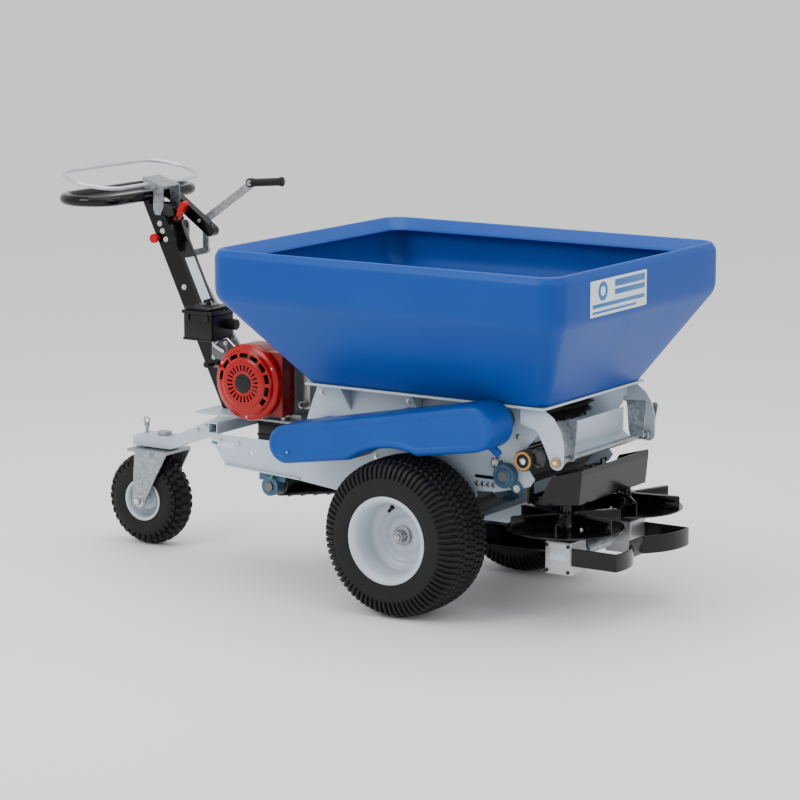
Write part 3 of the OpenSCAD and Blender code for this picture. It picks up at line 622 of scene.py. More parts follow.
# %% Builder
def build(name, parts, finishes, body, stands_for=(), sharp=38.0):
    """One object from (points, faces) parts; each may name the number of its finish as a third value."""
    stacks, counts, loops, marks = [], [], [], []
    start = 0
    for points, groups, *mark in parts:
        for faces in groups:
            loops.append((faces + start).ravel())
            counts.append(np.full(len(faces), faces.shape[1]))
            marks.append(np.full(len(faces), mark[0] if mark else 0))
        stacks.append(points)
        start += len(points)
    loops, counts, marks = (np.concatenate(rows).astype(np.int32) for rows in (loops, counts, marks))
    mesh = bpy.data.meshes.new(name)
    mesh.vertices.add(start)
    mesh.vertices.foreach_set("co", place(np.concatenate(stacks)).ravel())
    mesh.loops.add(len(loops))
    mesh.loops.foreach_set("vertex_index", loops)
    mesh.polygons.add(len(counts))
    mesh.polygons.foreach_set("loop_start", np.concatenate([[0], np.cumsum(counts)[:-1]]).astype(np.int32))
    mesh.polygons.foreach_set("material_index", marks)
    mesh.polygons.foreach_set("use_smooth", np.ones(len(counts), bool))
    mesh.update(calc_edges=True)
    mesh.validate()
    mesh.set_sharp_from_angle(angle=math.radians(sharp))
    for key in finishes:
        mesh.materials.append(FINISH[key])
    piece = bpy.data.objects.new(name, mesh)
    bpy.context.collection.objects.link(piece)
    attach(piece, body)
    if stands_for:
        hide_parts(*stands_for)
    print(name, len(counts), "faces")
    return piece


def marked(parts, number):
    """The same parts, all with one finish number."""
    return [(points, groups, number) for points, groups, *_ in parts]


# %% [markdown]
# ## Sheet-metal and cast parts
# Brackets, plates and castings already have the right shape, but real edges are never perfectly sharp.
# A copy of each has its loose triangles merged and a small bevel put on, so the edges catch light. This
# is quicker and truer than modelling each bracket again.

# %% Softened copies
def softened(node_name, width, parts=2):
    """A merged copy of a node with flat faces cleaned and its edges rounded by width millimetres."""
    shape = bmesh.new()
    shape.from_mesh(frame["nodes"][node_name].data)
    bmesh.ops.remove_doubles(shape, verts=shape.verts, dist=2e-5)
    bmesh.ops.dissolve_limit(shape, angle_limit=math.radians(0.4), verts=shape.verts, edges=shape.edges)
    mesh = bpy.data.meshes.new(node_name + "_soft")
    shape.to_mesh(mesh)
    shape.free()
    mesh.polygons.foreach_set("use_smooth", np.ones(len(mesh.polygons), bool))
    mesh.set_sharp_from_angle(angle=math.radians(35))
    mesh.materials.clear()
    mesh.materials.append(FINISH[SLOT_OF[node_name]])
    piece = bpy.data.objects.new(node_name + "_soft", mesh)
    bpy.context.collection.objects.link(piece)
    bevel = piece.modifiers.new("rounding", "BEVEL")
    bevel.width = width * MM
    bevel.segments = parts
    bevel.limit_method = "ANGLE"
    bevel.angle_limit = math.radians(40)
    bevel.harden_normals = True
    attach(piece, BODY_OF[node_name])
    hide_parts(node_name)
    return piece


SOFTENED = {"side_plate_right": 0.9, "side_plate_left": 0.9, "cross_members": 1.2, "gooseneck_beam": 2.5,
            "bearing_housings": 1.6, "transaxle": 3.0, "hopper_frame": 1.0, "gate_cheeks": 0.9,
            "engine_block": 2.0, "engine_shroud": 1.6, "mast": 2.0, "lever_support": 2.5, "spinner_arms": 1.2,
            "discharge_hood": 0.9, "caster_fork": 1.4, "bail_bracket": 0.8, "throttle_lever": 2.2,
            "stop_knob": 1.6, "feed_lever": 1.2, "feed_link": 0.9, "bell_crank": 1.0, "feed_rod": 1.2,
            "clutch_arm": 1.0, "gate_crossbar": 0.8, "gate_plate": 0.7, "spinner_guard": 1.2,
            "drive_chains": 1.5, "drive_belt": 1.0, "front_roller": 1.0, "rear_roller": 1.0,
            "jack_shaft": 1.0, "crankshaft": 1.0, "spinner_shaft": 1.0}
for node_name, edge in SOFTENED.items():
    softened(node_name, edge)
print(len(SOFTENED), "softened nodes")

# %% [markdown]
# ## Hopper
# The tub is rotationally moulded polyethylene: one skin of even thickness, every corner a generous
# radius, a rolled rim that steps back under itself, and a kink where the upright band meets the funnel.
# Each level of the tub is a rounded rectangle, so the whole skin is a path through five numbers: two
# ends, width, corner radius and height. Rounding that path rounds the tub everywhere at once.

# %% Hopper skin
TUB = np.array([(-285, 345, 390, 4, 561), (-340, 372, 510, 30, 561), (-530, 512, 880, 60, 794),
                (-530, 512, 880, 60, 899), (-520, 502, 860, 54, 917), (-512, 494, 844, 50, 917),
                (-486, 468, 792, 40, 889), (-484, 466, 788, 40, 884), (-513, 495, 846, 50, 880),
                (-522, 504, 864, 52, 870), (-522, 504, 864, 52, 797), (-332, 364, 494, 24, 569),
                (-285, 345, 390, 4, 569)], float)
TUB_ROUND = (1, 14, 26, 8, 10, 6, 8, 3, 12, 12, 26, 16, 1)


def rectangle_rings(levels, arc_steps=9, side_steps=8):
    """Rounded rectangles: an arc of the corner radius at each corner, with straight sides between."""
    x0, x1, width, radius, height = levels.T[:, :, None]
    arc = np.linspace(0, math.pi / 2, arc_steps)
    pieces = []
    corners = ((x1 - radius, width / 2 - radius, 0), (x0 + radius, width / 2 - radius, 1),
               (x0 + radius, radius - width / 2, 2), (x1 - radius, radius - width / 2, 3))
    for cx, cy, quarter in corners:
        angle = arc + quarter * math.pi / 2
        pieces.append(np.stack([cx + radius * np.cos(angle), cy + radius * np.sin(angle),
                                height + 0 * angle], -1))
    share = np.linspace(0, 1, side_steps + 2)[1:-1][None, :, None]
    rows = []
    for this, following in zip(pieces, pieces[1:] + pieces[:1]):
        rows += [this, this[:, -1:] * (1 - share) + following[:, :1] * share]
    return np.concatenate(rows, 1)


tub = [loft(rectangle_rings(rounded(TUB, TUB_ROUND, 6)), closed=True)]
build("hopper_tub", tub, ["hopper_plastic"], "chassis", ("hopper",), sharp=50)

# %% [markdown]
# ### Drum and chain beside the front roller
# A short chain runs over a small sprocket beside a rubber-faced drum at the front of the side plate. Each
# link is a pair of strap plates between two points of a circle. They stand still here, as a piece of the
# frame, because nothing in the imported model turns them.

# %% Idler drum and chain beside the roller
drive_end = [(*lathe([(27, 0), (27, 26), (25, 27), (8, 27)], (300, -204.5, 416), (0, -1, 0), 48), 0)]
drive_end.append((*lathe([(24, 26.5), (24, 29.5), (18, 29.5), (18, 26.5)], (300, -204.5, 416), (0, -1, 0), 48,
                         True), 1))
drive_end.append((*lathe([(9, 26), (9, 31), (7, 32)], (300, -204.5, 416), (0, -1, 0), 24), 2))
for k in range(14):
    lean_k = TURN * k / 14
    link = np.array((338 + 21 * math.cos(lean_k), 426 + 21 * math.sin(lean_k)))
    after_k = np.array((338 + 21 * math.cos(lean_k + TURN / 14), 426 + 21 * math.sin(lean_k + TURN / 14)))
    level = -214 if k % 2 else -217
    drive_end.append((*plate(strap(link, after_k, 7.5, 6), level - 1, level + 1, 0.3), 3))
    drive_end.append((*plate(strap(link, after_k, 7.5, 6), level - 9, level - 7, 0.3), 3))
drive_end.append((*lathe([(18, 0), (18, 7), (8, 7)], (338, -213, 426), (0, -1, 0), 36), 3))
build("idler_drum_and_chain", drive_end, ["belt_rubber", "bronze", "fastener_zinc", "chain_steel"], "chassis")

# %% [markdown]
# ### Front label
# A decal is a thin plate with printed shapes a little proud of it. The printing here is plain bars and a
# ring, so the label reads as a label without naming a maker.

# %% Front label
label = [(*plate(rounded([(-272, 801), (14, 801), (14, 891), (-272, 891)], 4), 511.6, 512.9, 0.3, "x"), 0)]
label_rows = ((-150, 4, 866, 884), (-150, 4, 846, 860), (-262, 4, 822, 832), (-262, -40, 808, 814))
for low_y, high_y, low_z, high_z in label_rows:
    bar = rounded([(low_y, low_z), (high_y, low_z), (high_y, high_z), (low_y, high_z)], 2)
    label.append((*plate(bar, 512.7, 513.2, 0.1, "x"), 1))
label.append((*lathe([(24, 0), (24, 0.5), (12, 0.5), (12, 0)], (512.7, -210, 862), (1, 0, 0), 40, True), 1))
build("front_label", label, ["label_white", "label_blue"], "chassis")

# %% [markdown]
# ## Chain cover
# The cover is a moulded capsule with an arch over the tyre and a raised border round its face. Its
# outline is two arcs and two tangents, with the lower tangent broken by the arch, and the same formula
# with a smaller radius gives every step from the back edge to the face.


# %% Chain cover shell
def cover_outline(inset):
    """Two arcs joined by tangents; the lower one is cut by an arch about the wheel centre."""
    rear, front, wheel = np.array((-333.0, 415.0)), np.array((232.0, 512.0)), np.array((0.0, 206.0))
    small, large, arch = 50.0 - inset, 60.0 - inset, 232.0 + inset
    span = front - rear
    lean = math.atan2(span[1], span[0])
    swing = math.asin((large - small) / np.linalg.norm(span))
    low, high = lean - math.pi / 2 - swing, lean + math.pi / 2 + swing

    def arc(centre, radius, start, end, steps):
        angle = np.linspace(start, end, steps)
        return centre + radius * np.stack([np.cos(angle), np.sin(angle)], -1)

    down = np.array((math.cos(low), math.sin(low)))
    along = np.array((-down[1], down[0]))
    drop = (rear + small * down - wheel) @ -down
    half = math.sqrt(arch ** 2 - drop ** 2)
    left, right = wheel - drop * down - half * along, wheel - drop * down + half * along
    a0, a1 = (math.atan2(*(p - wheel)[::-1]) for p in (left, right))
    return np.vstack([arc(rear, small, high, low + TURN, 22), arc(wheel, arch, a0, a1, 26),
                      arc(front, large, low, high, 30)])


# %% [markdown]
# ### Carrying the outline to the face
# Each pair is how far the outline shrinks and the Y it sits at. The list runs up the inside, over the
# back edge, along the outside and over the rounded border on to the face.

# %% Cover and its lugs
COVER_STEPS = ((4, -371), (4, -268), (3, -267), (1, -267), (0, -268), (0, -366), (1.2, -371), (4, -375.5),
               (8, -378.4), (11, -379.8), (15, -380), (18, -379.4), (20, -378), (21.5, -377), (24, -376.8))


def upright(outline, level):
    """An outline in X and Z set at one Y."""
    return np.stack([outline[:, 0], np.full(len(outline), level), outline[:, 1]], -1)


cover_rings = [upright(cover_outline(inset), level) for inset, level in COVER_STEPS]
cover = [loft(np.array(cover_rings))]
cover.append(block(-310, -290, -290, -204, 452, 468, 3))
cover.append(block(-60, -40, -290, -204, 498, 515, 3))
cover.append(plate(strap((226, 458), (252, 438), 18), -281, -269, 1.2))
build("chain_cover_shell", cover, ["cover_plastic"], "chassis", ("chain_cover",), sharp=30)

# %% [markdown]
# ### Latch
# The cover is held by a wire ring at the front and a small screw at the rear. The ring is a tube whose
# path is a circle.

# %% Cover latch
latch = [tube([(252 + 9 * math.cos(t), -275, 430 + 9 * math.sin(t)) for t in np.linspace(0, TURN, 20, False)],
              2, (0, 1, 0), 8, True)]
latch += bolt((-318, -380.2, 398), (0, -1, 0), 6, False)
build("cover_latch_ring", latch, ["zinc_plate"], "chassis")

# %% [markdown]
# ## Tyres
# A turf tyre is a smooth carcass with rows of small blocks and ribs that run down the shoulders. The
# carcass is a closed outline turned round the axle. The tread is the same surface pushed in along its
# own normal wherever a groove runs, so carcass and tread stay one skin.


# %% Smooth and evenly spaced outlines
def smoothed(points, times=3):
    """Corner cutting: each edge gives the points a quarter and three quarters along it, ends kept."""
    for _ in range(times):
        near = 0.75 * points[:-1] + 0.25 * points[1:]
        far = 0.25 * points[:-1] + 0.75 * points[1:]
        points = np.vstack([points[:1], np.stack([near, far], 1).reshape(-1, 2), points[-1:]])
    return points


def spaced(points, count):
    """The same line with count points at even distances along it."""
    run = np.concatenate([[0], np.cumsum(np.linalg.norm(np.diff(points, axis=0), axis=1))])
    marks = np.linspace(0, run[-1], count)
    return np.stack([np.interp(marks, run, points[:, k]) for k in (0, 1)], -1), marks - run[-1] / 2


# %% [markdown]
# ### Tread
# A tread is a repeating pattern in two directions, so it can be one wave across and one wave along. Where
# either is in its groove, the skin sinks along its normal. Sideways ribs fade out down the shoulder.


# %% Tyre skin
def groove(phase, width):
    """0 in a groove centred on whole numbers, 1 on the block, with short slopes."""
    away = np.abs((phase + 0.5) % 1.0 - 0.5)
    return np.clip((away - width) / 0.06, 0, 1)


def tyre(half_outline, inner, centre, blocks, rows, tread_half, shoulder, depth, per_block=7, count=96):
    """Carcass (r, h) turned round Y; pushed in by depth x (1 - lengthwise x crosswise block masks)."""
    half = smoothed(np.array(half_outline, float))
    full = np.vstack([half, (half * (1, -1))[::-1][1:]])
    line, run = spaced(full, count)
    along = np.gradient(line, axis=0)
    normal = np.stack([-along[:, 1], along[:, 0]], -1) / np.linalg.norm(along, axis=1)[:, None]
    normal *= np.sign((normal * (line - (line[:, 0].mean() * 0.8, 0))).sum(1))[:, None]
    angle = np.linspace(0, TURN, blocks * per_block, endpoint=False)[None]
    lane = (run[:, None] + tread_half) / (2 * tread_half) * rows
    stagger = 0.5 * (np.floor(lane) % 2) + 0.12 * np.sin(lane * math.pi)
    turn = angle / TURN * blocks
    lengthwise = groove(lane, 0.09)
    crosswise = groove(turn + stagger, 0.13)
    on_tread = np.abs(run)[:, None] < tread_half
    ribs = groove(turn, 0.2)
    fade = np.clip((shoulder - np.abs(run)[:, None]) / 6.0, 0, 1)
    mask = np.where(on_tread, np.minimum(lengthwise, crosswise), 1 - fade * (1 - ribs))
    sink = depth * (1 - mask)
    outer = line[:, None] - normal[:, None] * sink[..., None]
    inside = np.broadcast_to(np.array(inner, float)[:, None], (len(inner), angle.size, 2))
    section = np.vstack([outer, inside])
    radius, height = section[..., 0], section[..., 1]
    rings = np.stack([radius * np.cos(angle), height, radius * np.sin(angle)], -1)
    return loft(rings + np.asarray(centre, float), closed=True)


# %% [markdown]
# ### Three tyres
# Half an outline is enough, because a tyre is the same on both sides. The inner line follows the outer
# one a casing thickness inside it.

# %% Drive and caster tyres
DRIVE_HALF = [(103, 89.5), (112, 91.6), (122, 94.4), (134, 96), (140, 95.2), (143, 96), (165, 95.5),
              (184, 88), (198, 76), (204, 50), (206, 20), (206, 0)]
DRIVE_INNER = [(102.2, -80), (125, -82), (160, -82), (186, -60), (194, 0), (186, 60), (160, 82), (125, 82),
               (102.2, 80)]
for side, sign in (("right", -1), ("left", 1)):
    ring = tyre(DRIVE_HALF, DRIVE_INNER, (0, sign * 310, 206), 76, 7, 80, 122, 6.0)
    build("turf_tyre_" + side, [ring], ["tyre_rubber"], "drive_wheel_" + side, ("drive_tyre_" + side,),
          sharp=42)

CASTER_HALF = [(52, 37.5), (58, 39.5), (68, 43), (84, 46), (100, 44), (116, 37), (126, 24), (130.3, 8),
               (130.3, 0)]
CASTER_INNER = [(51.7, -30), (70, -33), (100, -32), (118, 0), (100, 32), (70, 33), (51.7, 30)]
ring = tyre(CASTER_HALF, CASTER_INNER, (-1050, 0, 130), 34, 4, 44, 60, 6.5, 8, 72)
build("caster_turf_tyre", [ring], ["tyre_rubber"], "caster_wheel", ("caster_tyre",), sharp=42)

# %% [markdown]
# ## Rims and hubs
# A pressed steel rim is a stepped dish: rolled lip, drop centre, two steps and a raised middle. It is a
# pure lathe shape, so a closed profile is enough. The hub carries a castle nut and a split pin.

# %% Rim section
DISH = abs(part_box("wheel_hub_right")[0][1]) / MM - 310 - 32
face_steps = [(20.2, 0), (34, 0), (42, -1.4), (48, -5), (54, -7.4), (64, -7.4), (69, -5), (73, 1), (79, 5.4),
              (86, 6.6), (90, 8.4), (92, 12), (93, 20)]
back_steps = [(97.6, -12), (90, 3), (80, 1.6), (74, -3), (70, -9), (64, -11.2), (54, -11.2), (47, -9),
              (41, -5.2), (34, -4), (20.2, -4)]
rolled_lip = [(95, 80), (98.5, 86), (102, 91), (106, 94.8), (111, 95.2), (114, 94.2), (114.4, 91.4),
              (104, 91.2), (101.6, 86), (101.6, -86), (104, -91.4), (114.4, -91.4), (114, -94.2),
              (110, -95.2), (101, -95), (97.6, -88)]
DRIVE_RIM = np.vstack([np.add(face_steps, (0, DISH)), rolled_lip, np.add(back_steps, (0, DISH))])


# %% [markdown]
# ### Hub nut
# A castle nut is slotted so that a split pin can lock it. The hexagon, the crown, the threaded stub and
# the bent pin are four small surfaces on one axis.


# %% Castle nut
def castle_nut(centre, axis):
    """Washer, hexagon, six raised merlons round a threaded stub and a bent split pin."""
    centre, axis = np.asarray(centre, float), np.asarray(axis, float)
    parts = [lathe([(25, 0), (25, 2.4), (24, 3), (12, 3)], centre, axis, 40),
             lathe([(16.6, 3), (17.4, 4), (17.4, 13), (16, 14.6)], centre, axis, 6),
             lathe([(13.6, 14), (13.6, 20), (12.6, 21), (9.6, 21), (9.6, 14)], centre, axis, 36),
             lathe([(8.6, 3), (8.6, 22), (7.4, 24)], centre, axis, 24)]
    pin = np.array([(-22, 0, 17.4), (-12, 0, 17.4), (12, 0, 17.4), (19, 1, 17.4), (22, 7, 17)], float)
    parts.append(tube(turned(pin, axis) + centre, 1.8, axis, 8))
    return parts


# %% [markdown]
# ### Drive wheels
# Both wheels share one section. The valve stem leans out of the dish, and the hub stands on the disc face
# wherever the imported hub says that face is.

# %% Drive rims and hubs
for side, sign in (("right", -1), ("left", 1)):
    middle, out = (0, sign * 310, 206), (0, sign, 0)
    dish = [(*lathe(DRIVE_RIM, middle, out, 96, True), 0)]
    stem_foot = np.array((math.cos(2.0) * 78, 0, math.sin(2.0) * 78)) + middle
    stem_lean = np.array((-0.35 * math.cos(2.0), sign, -0.35 * math.sin(2.0)))
    stem = [(6.5, -2), (6.5, 6), (5, 9), (4, 14), (4.4, 16), (4.4, 25), (3.6, 27)]
    dish.append((*lathe(stem, stem_foot + np.array((0, sign * DISH, 0)), stem_lean, 20), 1))
    build("dished_rim_" + side, dish, ["rim_paint", "black_plastic"], "drive_wheel_" + side,
          ("drive_rim_" + side,), sharp=60)
    face = np.array((0, sign * (310 + DISH), 206), float)
    flange = [(38, -12), (38, -4.4), (37, -4), (19.8, -4), (19.8, 10), (18.8, 11), (12, 11)]
    hub = [lathe(flange, face, out, 48),
           lathe([(12.5, -250), (12.5, DISH - 8)], middle, out, 32)]
    hub += castle_nut(face + np.array((0, sign * 7.8, 0)), out)
    build("castle_nut_hub_" + side, hub, ["zinc_plate"], "drive_wheel_" + side, ("wheel_hub_" + side,))

# %% [markdown]
# ### Caster rim and lock pin
# The small rim is deeper for its width, with a plain tube as its hub. The lock pin is a rod with a collar
# and a pull ring, and it drops into the fork to hold the caster straight.

# %% Caster rim, nuts and lock pin
CASTER_RIM = [(18, 20), (26, 20.4), (31, 19), (35, 13), (41, 8), (46, 9.5), (48, 18), (49, 32), (51, 39.4),
              (55, 42.4), (59, 42), (59.4, 39), (53, 38.6), (51.4, 34), (51.4, -34), (53, -38.6),
              (59.4, -39), (59, -42), (55, -42.4), (49, -40), (47.4, -32), (47, 4), (41, 3.6), (34, 8),
              (29, 15), (18, 16)]
caster_rim = [lathe(CASTER_RIM, (-1050, 0, 130), (0, -1, 0), 72, True),
              lathe([(8.2, -49.8), (17, -49.8), (18, -48.8), (18, 48.8), (17, 49.8), (8.2, 49.8)],
                    (-1050, 0, 130), (0, -1, 0), 40, True)]
build("caster_dished_rim", caster_rim, ["rim_paint"], "caster_wheel", ("caster_rim",), sharp=60)
axle_ends = []
for sign in (-1, 1):
    axle_ends += bolt((-1050, sign * 60, 130), (0, sign, 0), 18)
build("caster_axle_nuts", axle_ends, ["fastener_zinc"], "caster_swivel")
pin_parts = [lathe([(5, 277.5), (5, 338), (7, 339), (7, 343), (4, 344)], (-1062, 0, 0), (0, 0, 1), 24),
             lathe([(8, 333), (8, 337), (7, 338)], (-1062, 0, 0), (0, 0, 1), 24),
             tube([(-1062 + 9 * math.cos(t), 0, 349 + 9 * math.sin(t))
                   for t in np.linspace(0, TURN, 28, False)], 2, (0, 1, 0), 10, True)]
build("lock_pin_and_ring", pin_parts, ["zinc_plate"], "caster_lock", ("lock_pin",))

# %% [markdown]
# ## Engine
# The small engine shows a red recoil housing pierced by two rings of slots, a black air-cleaner box with
# a wing nut, a carburettor with its linkage and a dull silencer behind a pierced guard. Slots are real
# holes: the housing is a polar grid whose slot cells are left out, and Solidify gives the rest a wall.

# %% Pierced dome
CRANK = np.array((-587.0, 0.0, 526.0))


def pierced_dome(name, profile, slots, wall, sides, finishes, body, stands_for):
    """A profile turned about the crank with cells left out where slots(r, t) is true, then thickened."""
    line, _ = spaced(smoothed(np.array(profile, float), 2), 72)
    radius, depth = line.T[:, :, None]
    angle = np.linspace(0, TURN, sides, endpoint=False)[None]
    rings = np.stack([radius * np.cos(angle), depth + 0 * angle, radius * np.sin(angle)], -1) + CRANK
    index = np.arange(rings.shape[0] * sides).reshape(-1, sides)
    wrap = np.hstack([index, index[:, :1]])
    quads = np.stack([wrap[:-1, :-1], wrap[1:, :-1], wrap[1:, 1:], wrap[:-1, 1:]], -1)
    middle = (radius[:-1] + radius[1:]) / 2
    keep = ~slots(middle, angle + TURN / sides / 2)
    faces = np.concatenate([quads[keep]])
    piece = build(name, [(rings.reshape(-1, 3), [faces])], finishes, body, stands_for)
    skin = piece.modifiers.new("wall", "SOLIDIFY")
    skin.thickness = wall * MM
    skin.offset = -1.0
    return piece


# %% [markdown]
# ### Recoil housing
# The slots let cooling air in. They are a formula of radius and angle: repeat the angle, and keep the part
# of each repeat that is a slot.


# %% Recoil housing
def recoil_slots(radius, angle):
    """24 radial slots from 34 to 50 mm, and 10 wide ones from 68 to 82 mm on the upper half."""
    inner = (radius > 34) & (radius < 50) & (np.abs((angle / TURN * 24) % 1 - 0.5) < 0.22)
    wide = np.abs((angle / TURN * 14) % 1 - 0.5) < 0.36
    outer = (radius > 70) & (radius < 80) & wide & (np.sin(angle + 0.4) > -0.35)
    return inner | outer


RECOIL = [(102, -166), (102, -172), (100, -178), (94, -181), (88, -184), (85, -190), (80, -193.5), (68, -195),
          (64, -199), (56, -200), (30, -200), (28, -198), (26, -198), (0.5, -198)]
pierced_dome("recoil_housing", RECOIL, recoil_slots, 1.6, 336, ["recoil_red"], "chassis", ("recoil_cover",))
badge = [(*lathe([(26, 0), (26, 2.4), (24, 3.2), (5, 3.2)], CRANK + (0, -197.6, 0), (0, -1, 0), 48), 0)]
for turn in range(3):
    spot = CRANK + np.array((92 * math.cos(turn * 2.1 + 0.5), -178, 92 * math.sin(turn * 2.1 + 0.5)))
    badge += marked(bolt(spot, (0, -1, 0), 8), 1)
badge.append((*block(-506, -489, -166.6, -164.6, 500, 560, 3, 0.4), 2))
badge.append((*lathe([(88, -6), (88, 0), (20, 0)], CRANK + (0, -160, 0), (0, -1, 0), 64), 0))
build("recoil_badge_and_bolts", badge, ["black_plastic", "fastener_zinc", "label_white"], "chassis")

# %% [markdown]
# ### Air cleaner
# A moulded box with a lid, two clips and a wing nut on a stud. Rounded blocks a little wider than each
# other give the lid its step without any joining of solids.

# %% Air cleaner
cleaner = [block(-838, -742, -165, -60, 622, 694, 9, 3), block(-842, -738, -169, -56, 694, 703, 8, 1.5),
           block(-836, -744, -163, -62, 703, 712, 14, 4), block(-815, -765, -135, -90, 711, 714.5, 10, 1)]
cleaner.append(block(-840, -740, -167, -58, 622, 628, 8, 1.5))
for x in (-822, -758):
    cleaner.append(block(x - 7, x + 7, -170, -164, 676, 700, 3, 1.2))
cleaner.append(lathe([(7, 714), (7, 722), (4, 724)], (-790, -112, 0), (0, 0, 1), 20))
cleaner.append(plate(strap((-803, 722), (-777, 730), 8), -114.5, -109.5, 1.5))
cleaner.append(lathe([(15, 0), (15, 26), (13, 28)], (-742, -86, 662), (1, 0, 0), 28))
cleaner_x = (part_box("air_cleaner")[0][0] - AXLE_X) / MM + 842
cleaner = [(points + (cleaner_x, 0, 0), faces) for points, faces in cleaner]
build("air_cleaner_box", cleaner, ["black_plastic"], "chassis", ("air_cleaner",))

# %% [markdown]
# ### Carburettor
# A cast body over a float bowl, with levers, a throttle rod and a return spring. The spring is a tube
# carried along a helix.

# %% Carburettor and linkage
carb = [block(-762, -704, -104, -62, 562, 620, 8, 3), lathe([(18, 534), (19, 536), (19, 556), (21, 558),
        (21, 562)], (-731, -83, 0), (0, 0, 1), 32), lathe([(5, 526), (5, 535)], (-731, -83, 0), (0, 0, 1), 6),
        lathe([(12, 0), (12, 28), (11, 29)], (-701, -83, 574), (1, 0, 0), 28)]
carb = marked(carb, 0)
carb.append((*plate(strap((-748, 604), (-718, 590), 9), -110, -106, 0.8), 1))
carb.append((*plate(strap((-722, 560), (-694, 528), 14), -122, -112, 2), 2))
carb.append((*lathe([(10, 0), (12, 3), (12, 12), (9, 14)], (-690, -122, 520), (0, -1, 0), 24), 2))
carb.append((*tube([(-745, -112, 604), (-725, -114, 622), (-700, -114, 628), (-668, -112, 600)], 1.6,
                   (0, 1, 0), 8), 1))
coil_t = np.linspace(0, 16 * TURN, 300)
coil = np.stack([-744 + 62 * coil_t / coil_t[-1], -116 + 3 * np.cos(coil_t), 548 + 3 * np.sin(coil_t)], -1)
carb.append((*tube(coil, 0.7, (0.3, 1, 0.1), 6), 1))
for x, z in ((-752, 612), (-712, 612), (-752, 570), (-712, 570)):
    carb += marked(bolt((x, -104, z), (0, -1, 0), 7), 1)
build("carburettor_body", carb, ["cast_grey", "fastener_zinc", "black_plastic"], "chassis", ("carburettor",))

# %% [markdown]
# ### Silencer
# The silencer is a box, and its guard is a sheet with a grid of holes. The grid leaves out every cell that
# falls in a hole, and Solidify gives the sheet its thickness.

# %% Silencer and pierced guard
silencer = [(*block(-465, -437, -100, 56, 454, 558, 8, 3), 0)]
guard_u, guard_v = np.meshgrid(np.linspace(-104, 60, 84), np.linspace(452, 560, 56))
guard_grid = np.stack([-436.5 + 1.6 * np.cos((guard_u + 22) / 82 * 1.5), guard_u, guard_v], -1)
guard_index = np.arange(guard_u.size).reshape(guard_u.shape)
guard_quads = np.stack([guard_index[:-1, :-1], guard_index[:-1, 1:], guard_index[1:, 1:],
                        guard_index[1:, :-1]], -1)
column, row = np.meshgrid(np.arange(83), np.arange(55))
pierced = (column % 8 > 2) & (column % 8 < 6) & (row % 9 > 2) & (row % 9 < 7)
silencer.append((*lathe([(9, -22), (9, 0), (7, 0), (7, -21)], (-450, -103, 470), (0, 1, 0), 24, True), 0))
build("silencer_body", silencer, ["muffler_steel"], "chassis", ("muffler",))
guard = build("silencer_guard", [(guard_grid.reshape(-1, 3), [guard_quads[~pierced]])], ["muffler_steel"],
              "chassis")
guard_wall = guard.modifiers.new("wall", "SOLIDIFY")
guard_wall.thickness = 1.2 * MM

# %% [markdown]
# ### Bolts and ignition lead
# The screws that hold the crankcase cover and the cylinder head, the plug, the drain and the short lead.

# %% Engine bolts and lead
trim = []
for x, z in ((-664, 582), (-664, 440), (-508, 582), (-508, 440)):
    trim += bolt((x, -108.2, z), (0, -1, 0), 10)
for y in (-60, 0, 60):
    trim += bolt((-500 + 30.2, y * 0.6, 532), (1, 0, 0), 8)
trim += bolt((-640, -100, 590), (0, 0, 1), 12)
trim.append(lathe([(9, 0), (9, 14), (12, 15), (12, 22), (6, 24)], (-650, -108, 452), (0, -1, 0), 24))
lead = [(-482, -70, 560), (-470, -82, 575), (-452, -90, 590), (-440, -96, 606)]
trim.append(tube(lead, 3.5, (0, 1, 0), 10))
build("engine_bolts_and_lead", trim, ["fastener_zinc"], "chassis")

# %% [markdown]
# ### Fuel tank, cap and starter grip
# Two moulded halves meet at a flange, so the tank is two blocks with a thin wider one between. The cap is a
# lathe whose radius ripples, and the grip is a waisted turning.

# %% Fuel tank, cap and starter grip
tank = [block(-645, -535, -60, 110, 316, 362, 16, 5), block(-647, -533, -62, 112, 358, 364, 16, 1.5),
        block(-645, -535, -60, 110, 360, 405, 16, 6), block(-640, -625, -20, 70, 403, 411, 2),
        block(-555, -540, -20, 70, 403, 411, 2), lathe([(18, 108), (18, 121.8), (15, 121.8)], (-590, 0, 370),
                                                       (0, 1, 0), 36)]
build("fuel_tank_shell", tank, ["black_plastic"], "chassis", ("fuel_tank",))
cap_turn = np.linspace(0, TURN, 72, endpoint=False)
cap_rings = []
cap_steps = ((13.9, 112), (13.9, 122.3), (21, 122.3), (22.6, 124), (22.6, 135), (21, 137.4), (12, 138))
for radius, level in cap_steps:
    ripple = radius + np.where(radius > 22, 0.5 * np.sign(np.sin(cap_turn * 18)), 0)
    cap_rings.append(np.stack([-590 + ripple * np.cos(cap_turn), np.full(72, level),
                               370 + ripple * np.sin(cap_turn)], -1))
build("fuel_cap_ribbed", [loft(np.array(cap_rings))], ["black_plastic"], "cap", ("fuel_cap",))
pull = [lathe([(2.6, 0), (2.6, 20)], (-709, -172, 566), (1, 0, 0), 12),
        lathe([(6, -30), (9, -27), (8, -12), (9.5, 0), (8, 12), (9, 27), (6, 30)], (-709, -172, 566),
              (0, 1, 0), 24)]
build("starter_grip", pull, ["black_plastic"], "starter", ("starter_handle",))

# %% [markdown]
# ## Handle and controls
# Two tube loops cross the top of the mast: the fixed black bar and, above it, the thin plated bail. A
# tube loop is a circle carried round a stadium path. The grip on the feed lever is a ribbed rubber
# sleeve, so its profile is a straight line with a ripple.


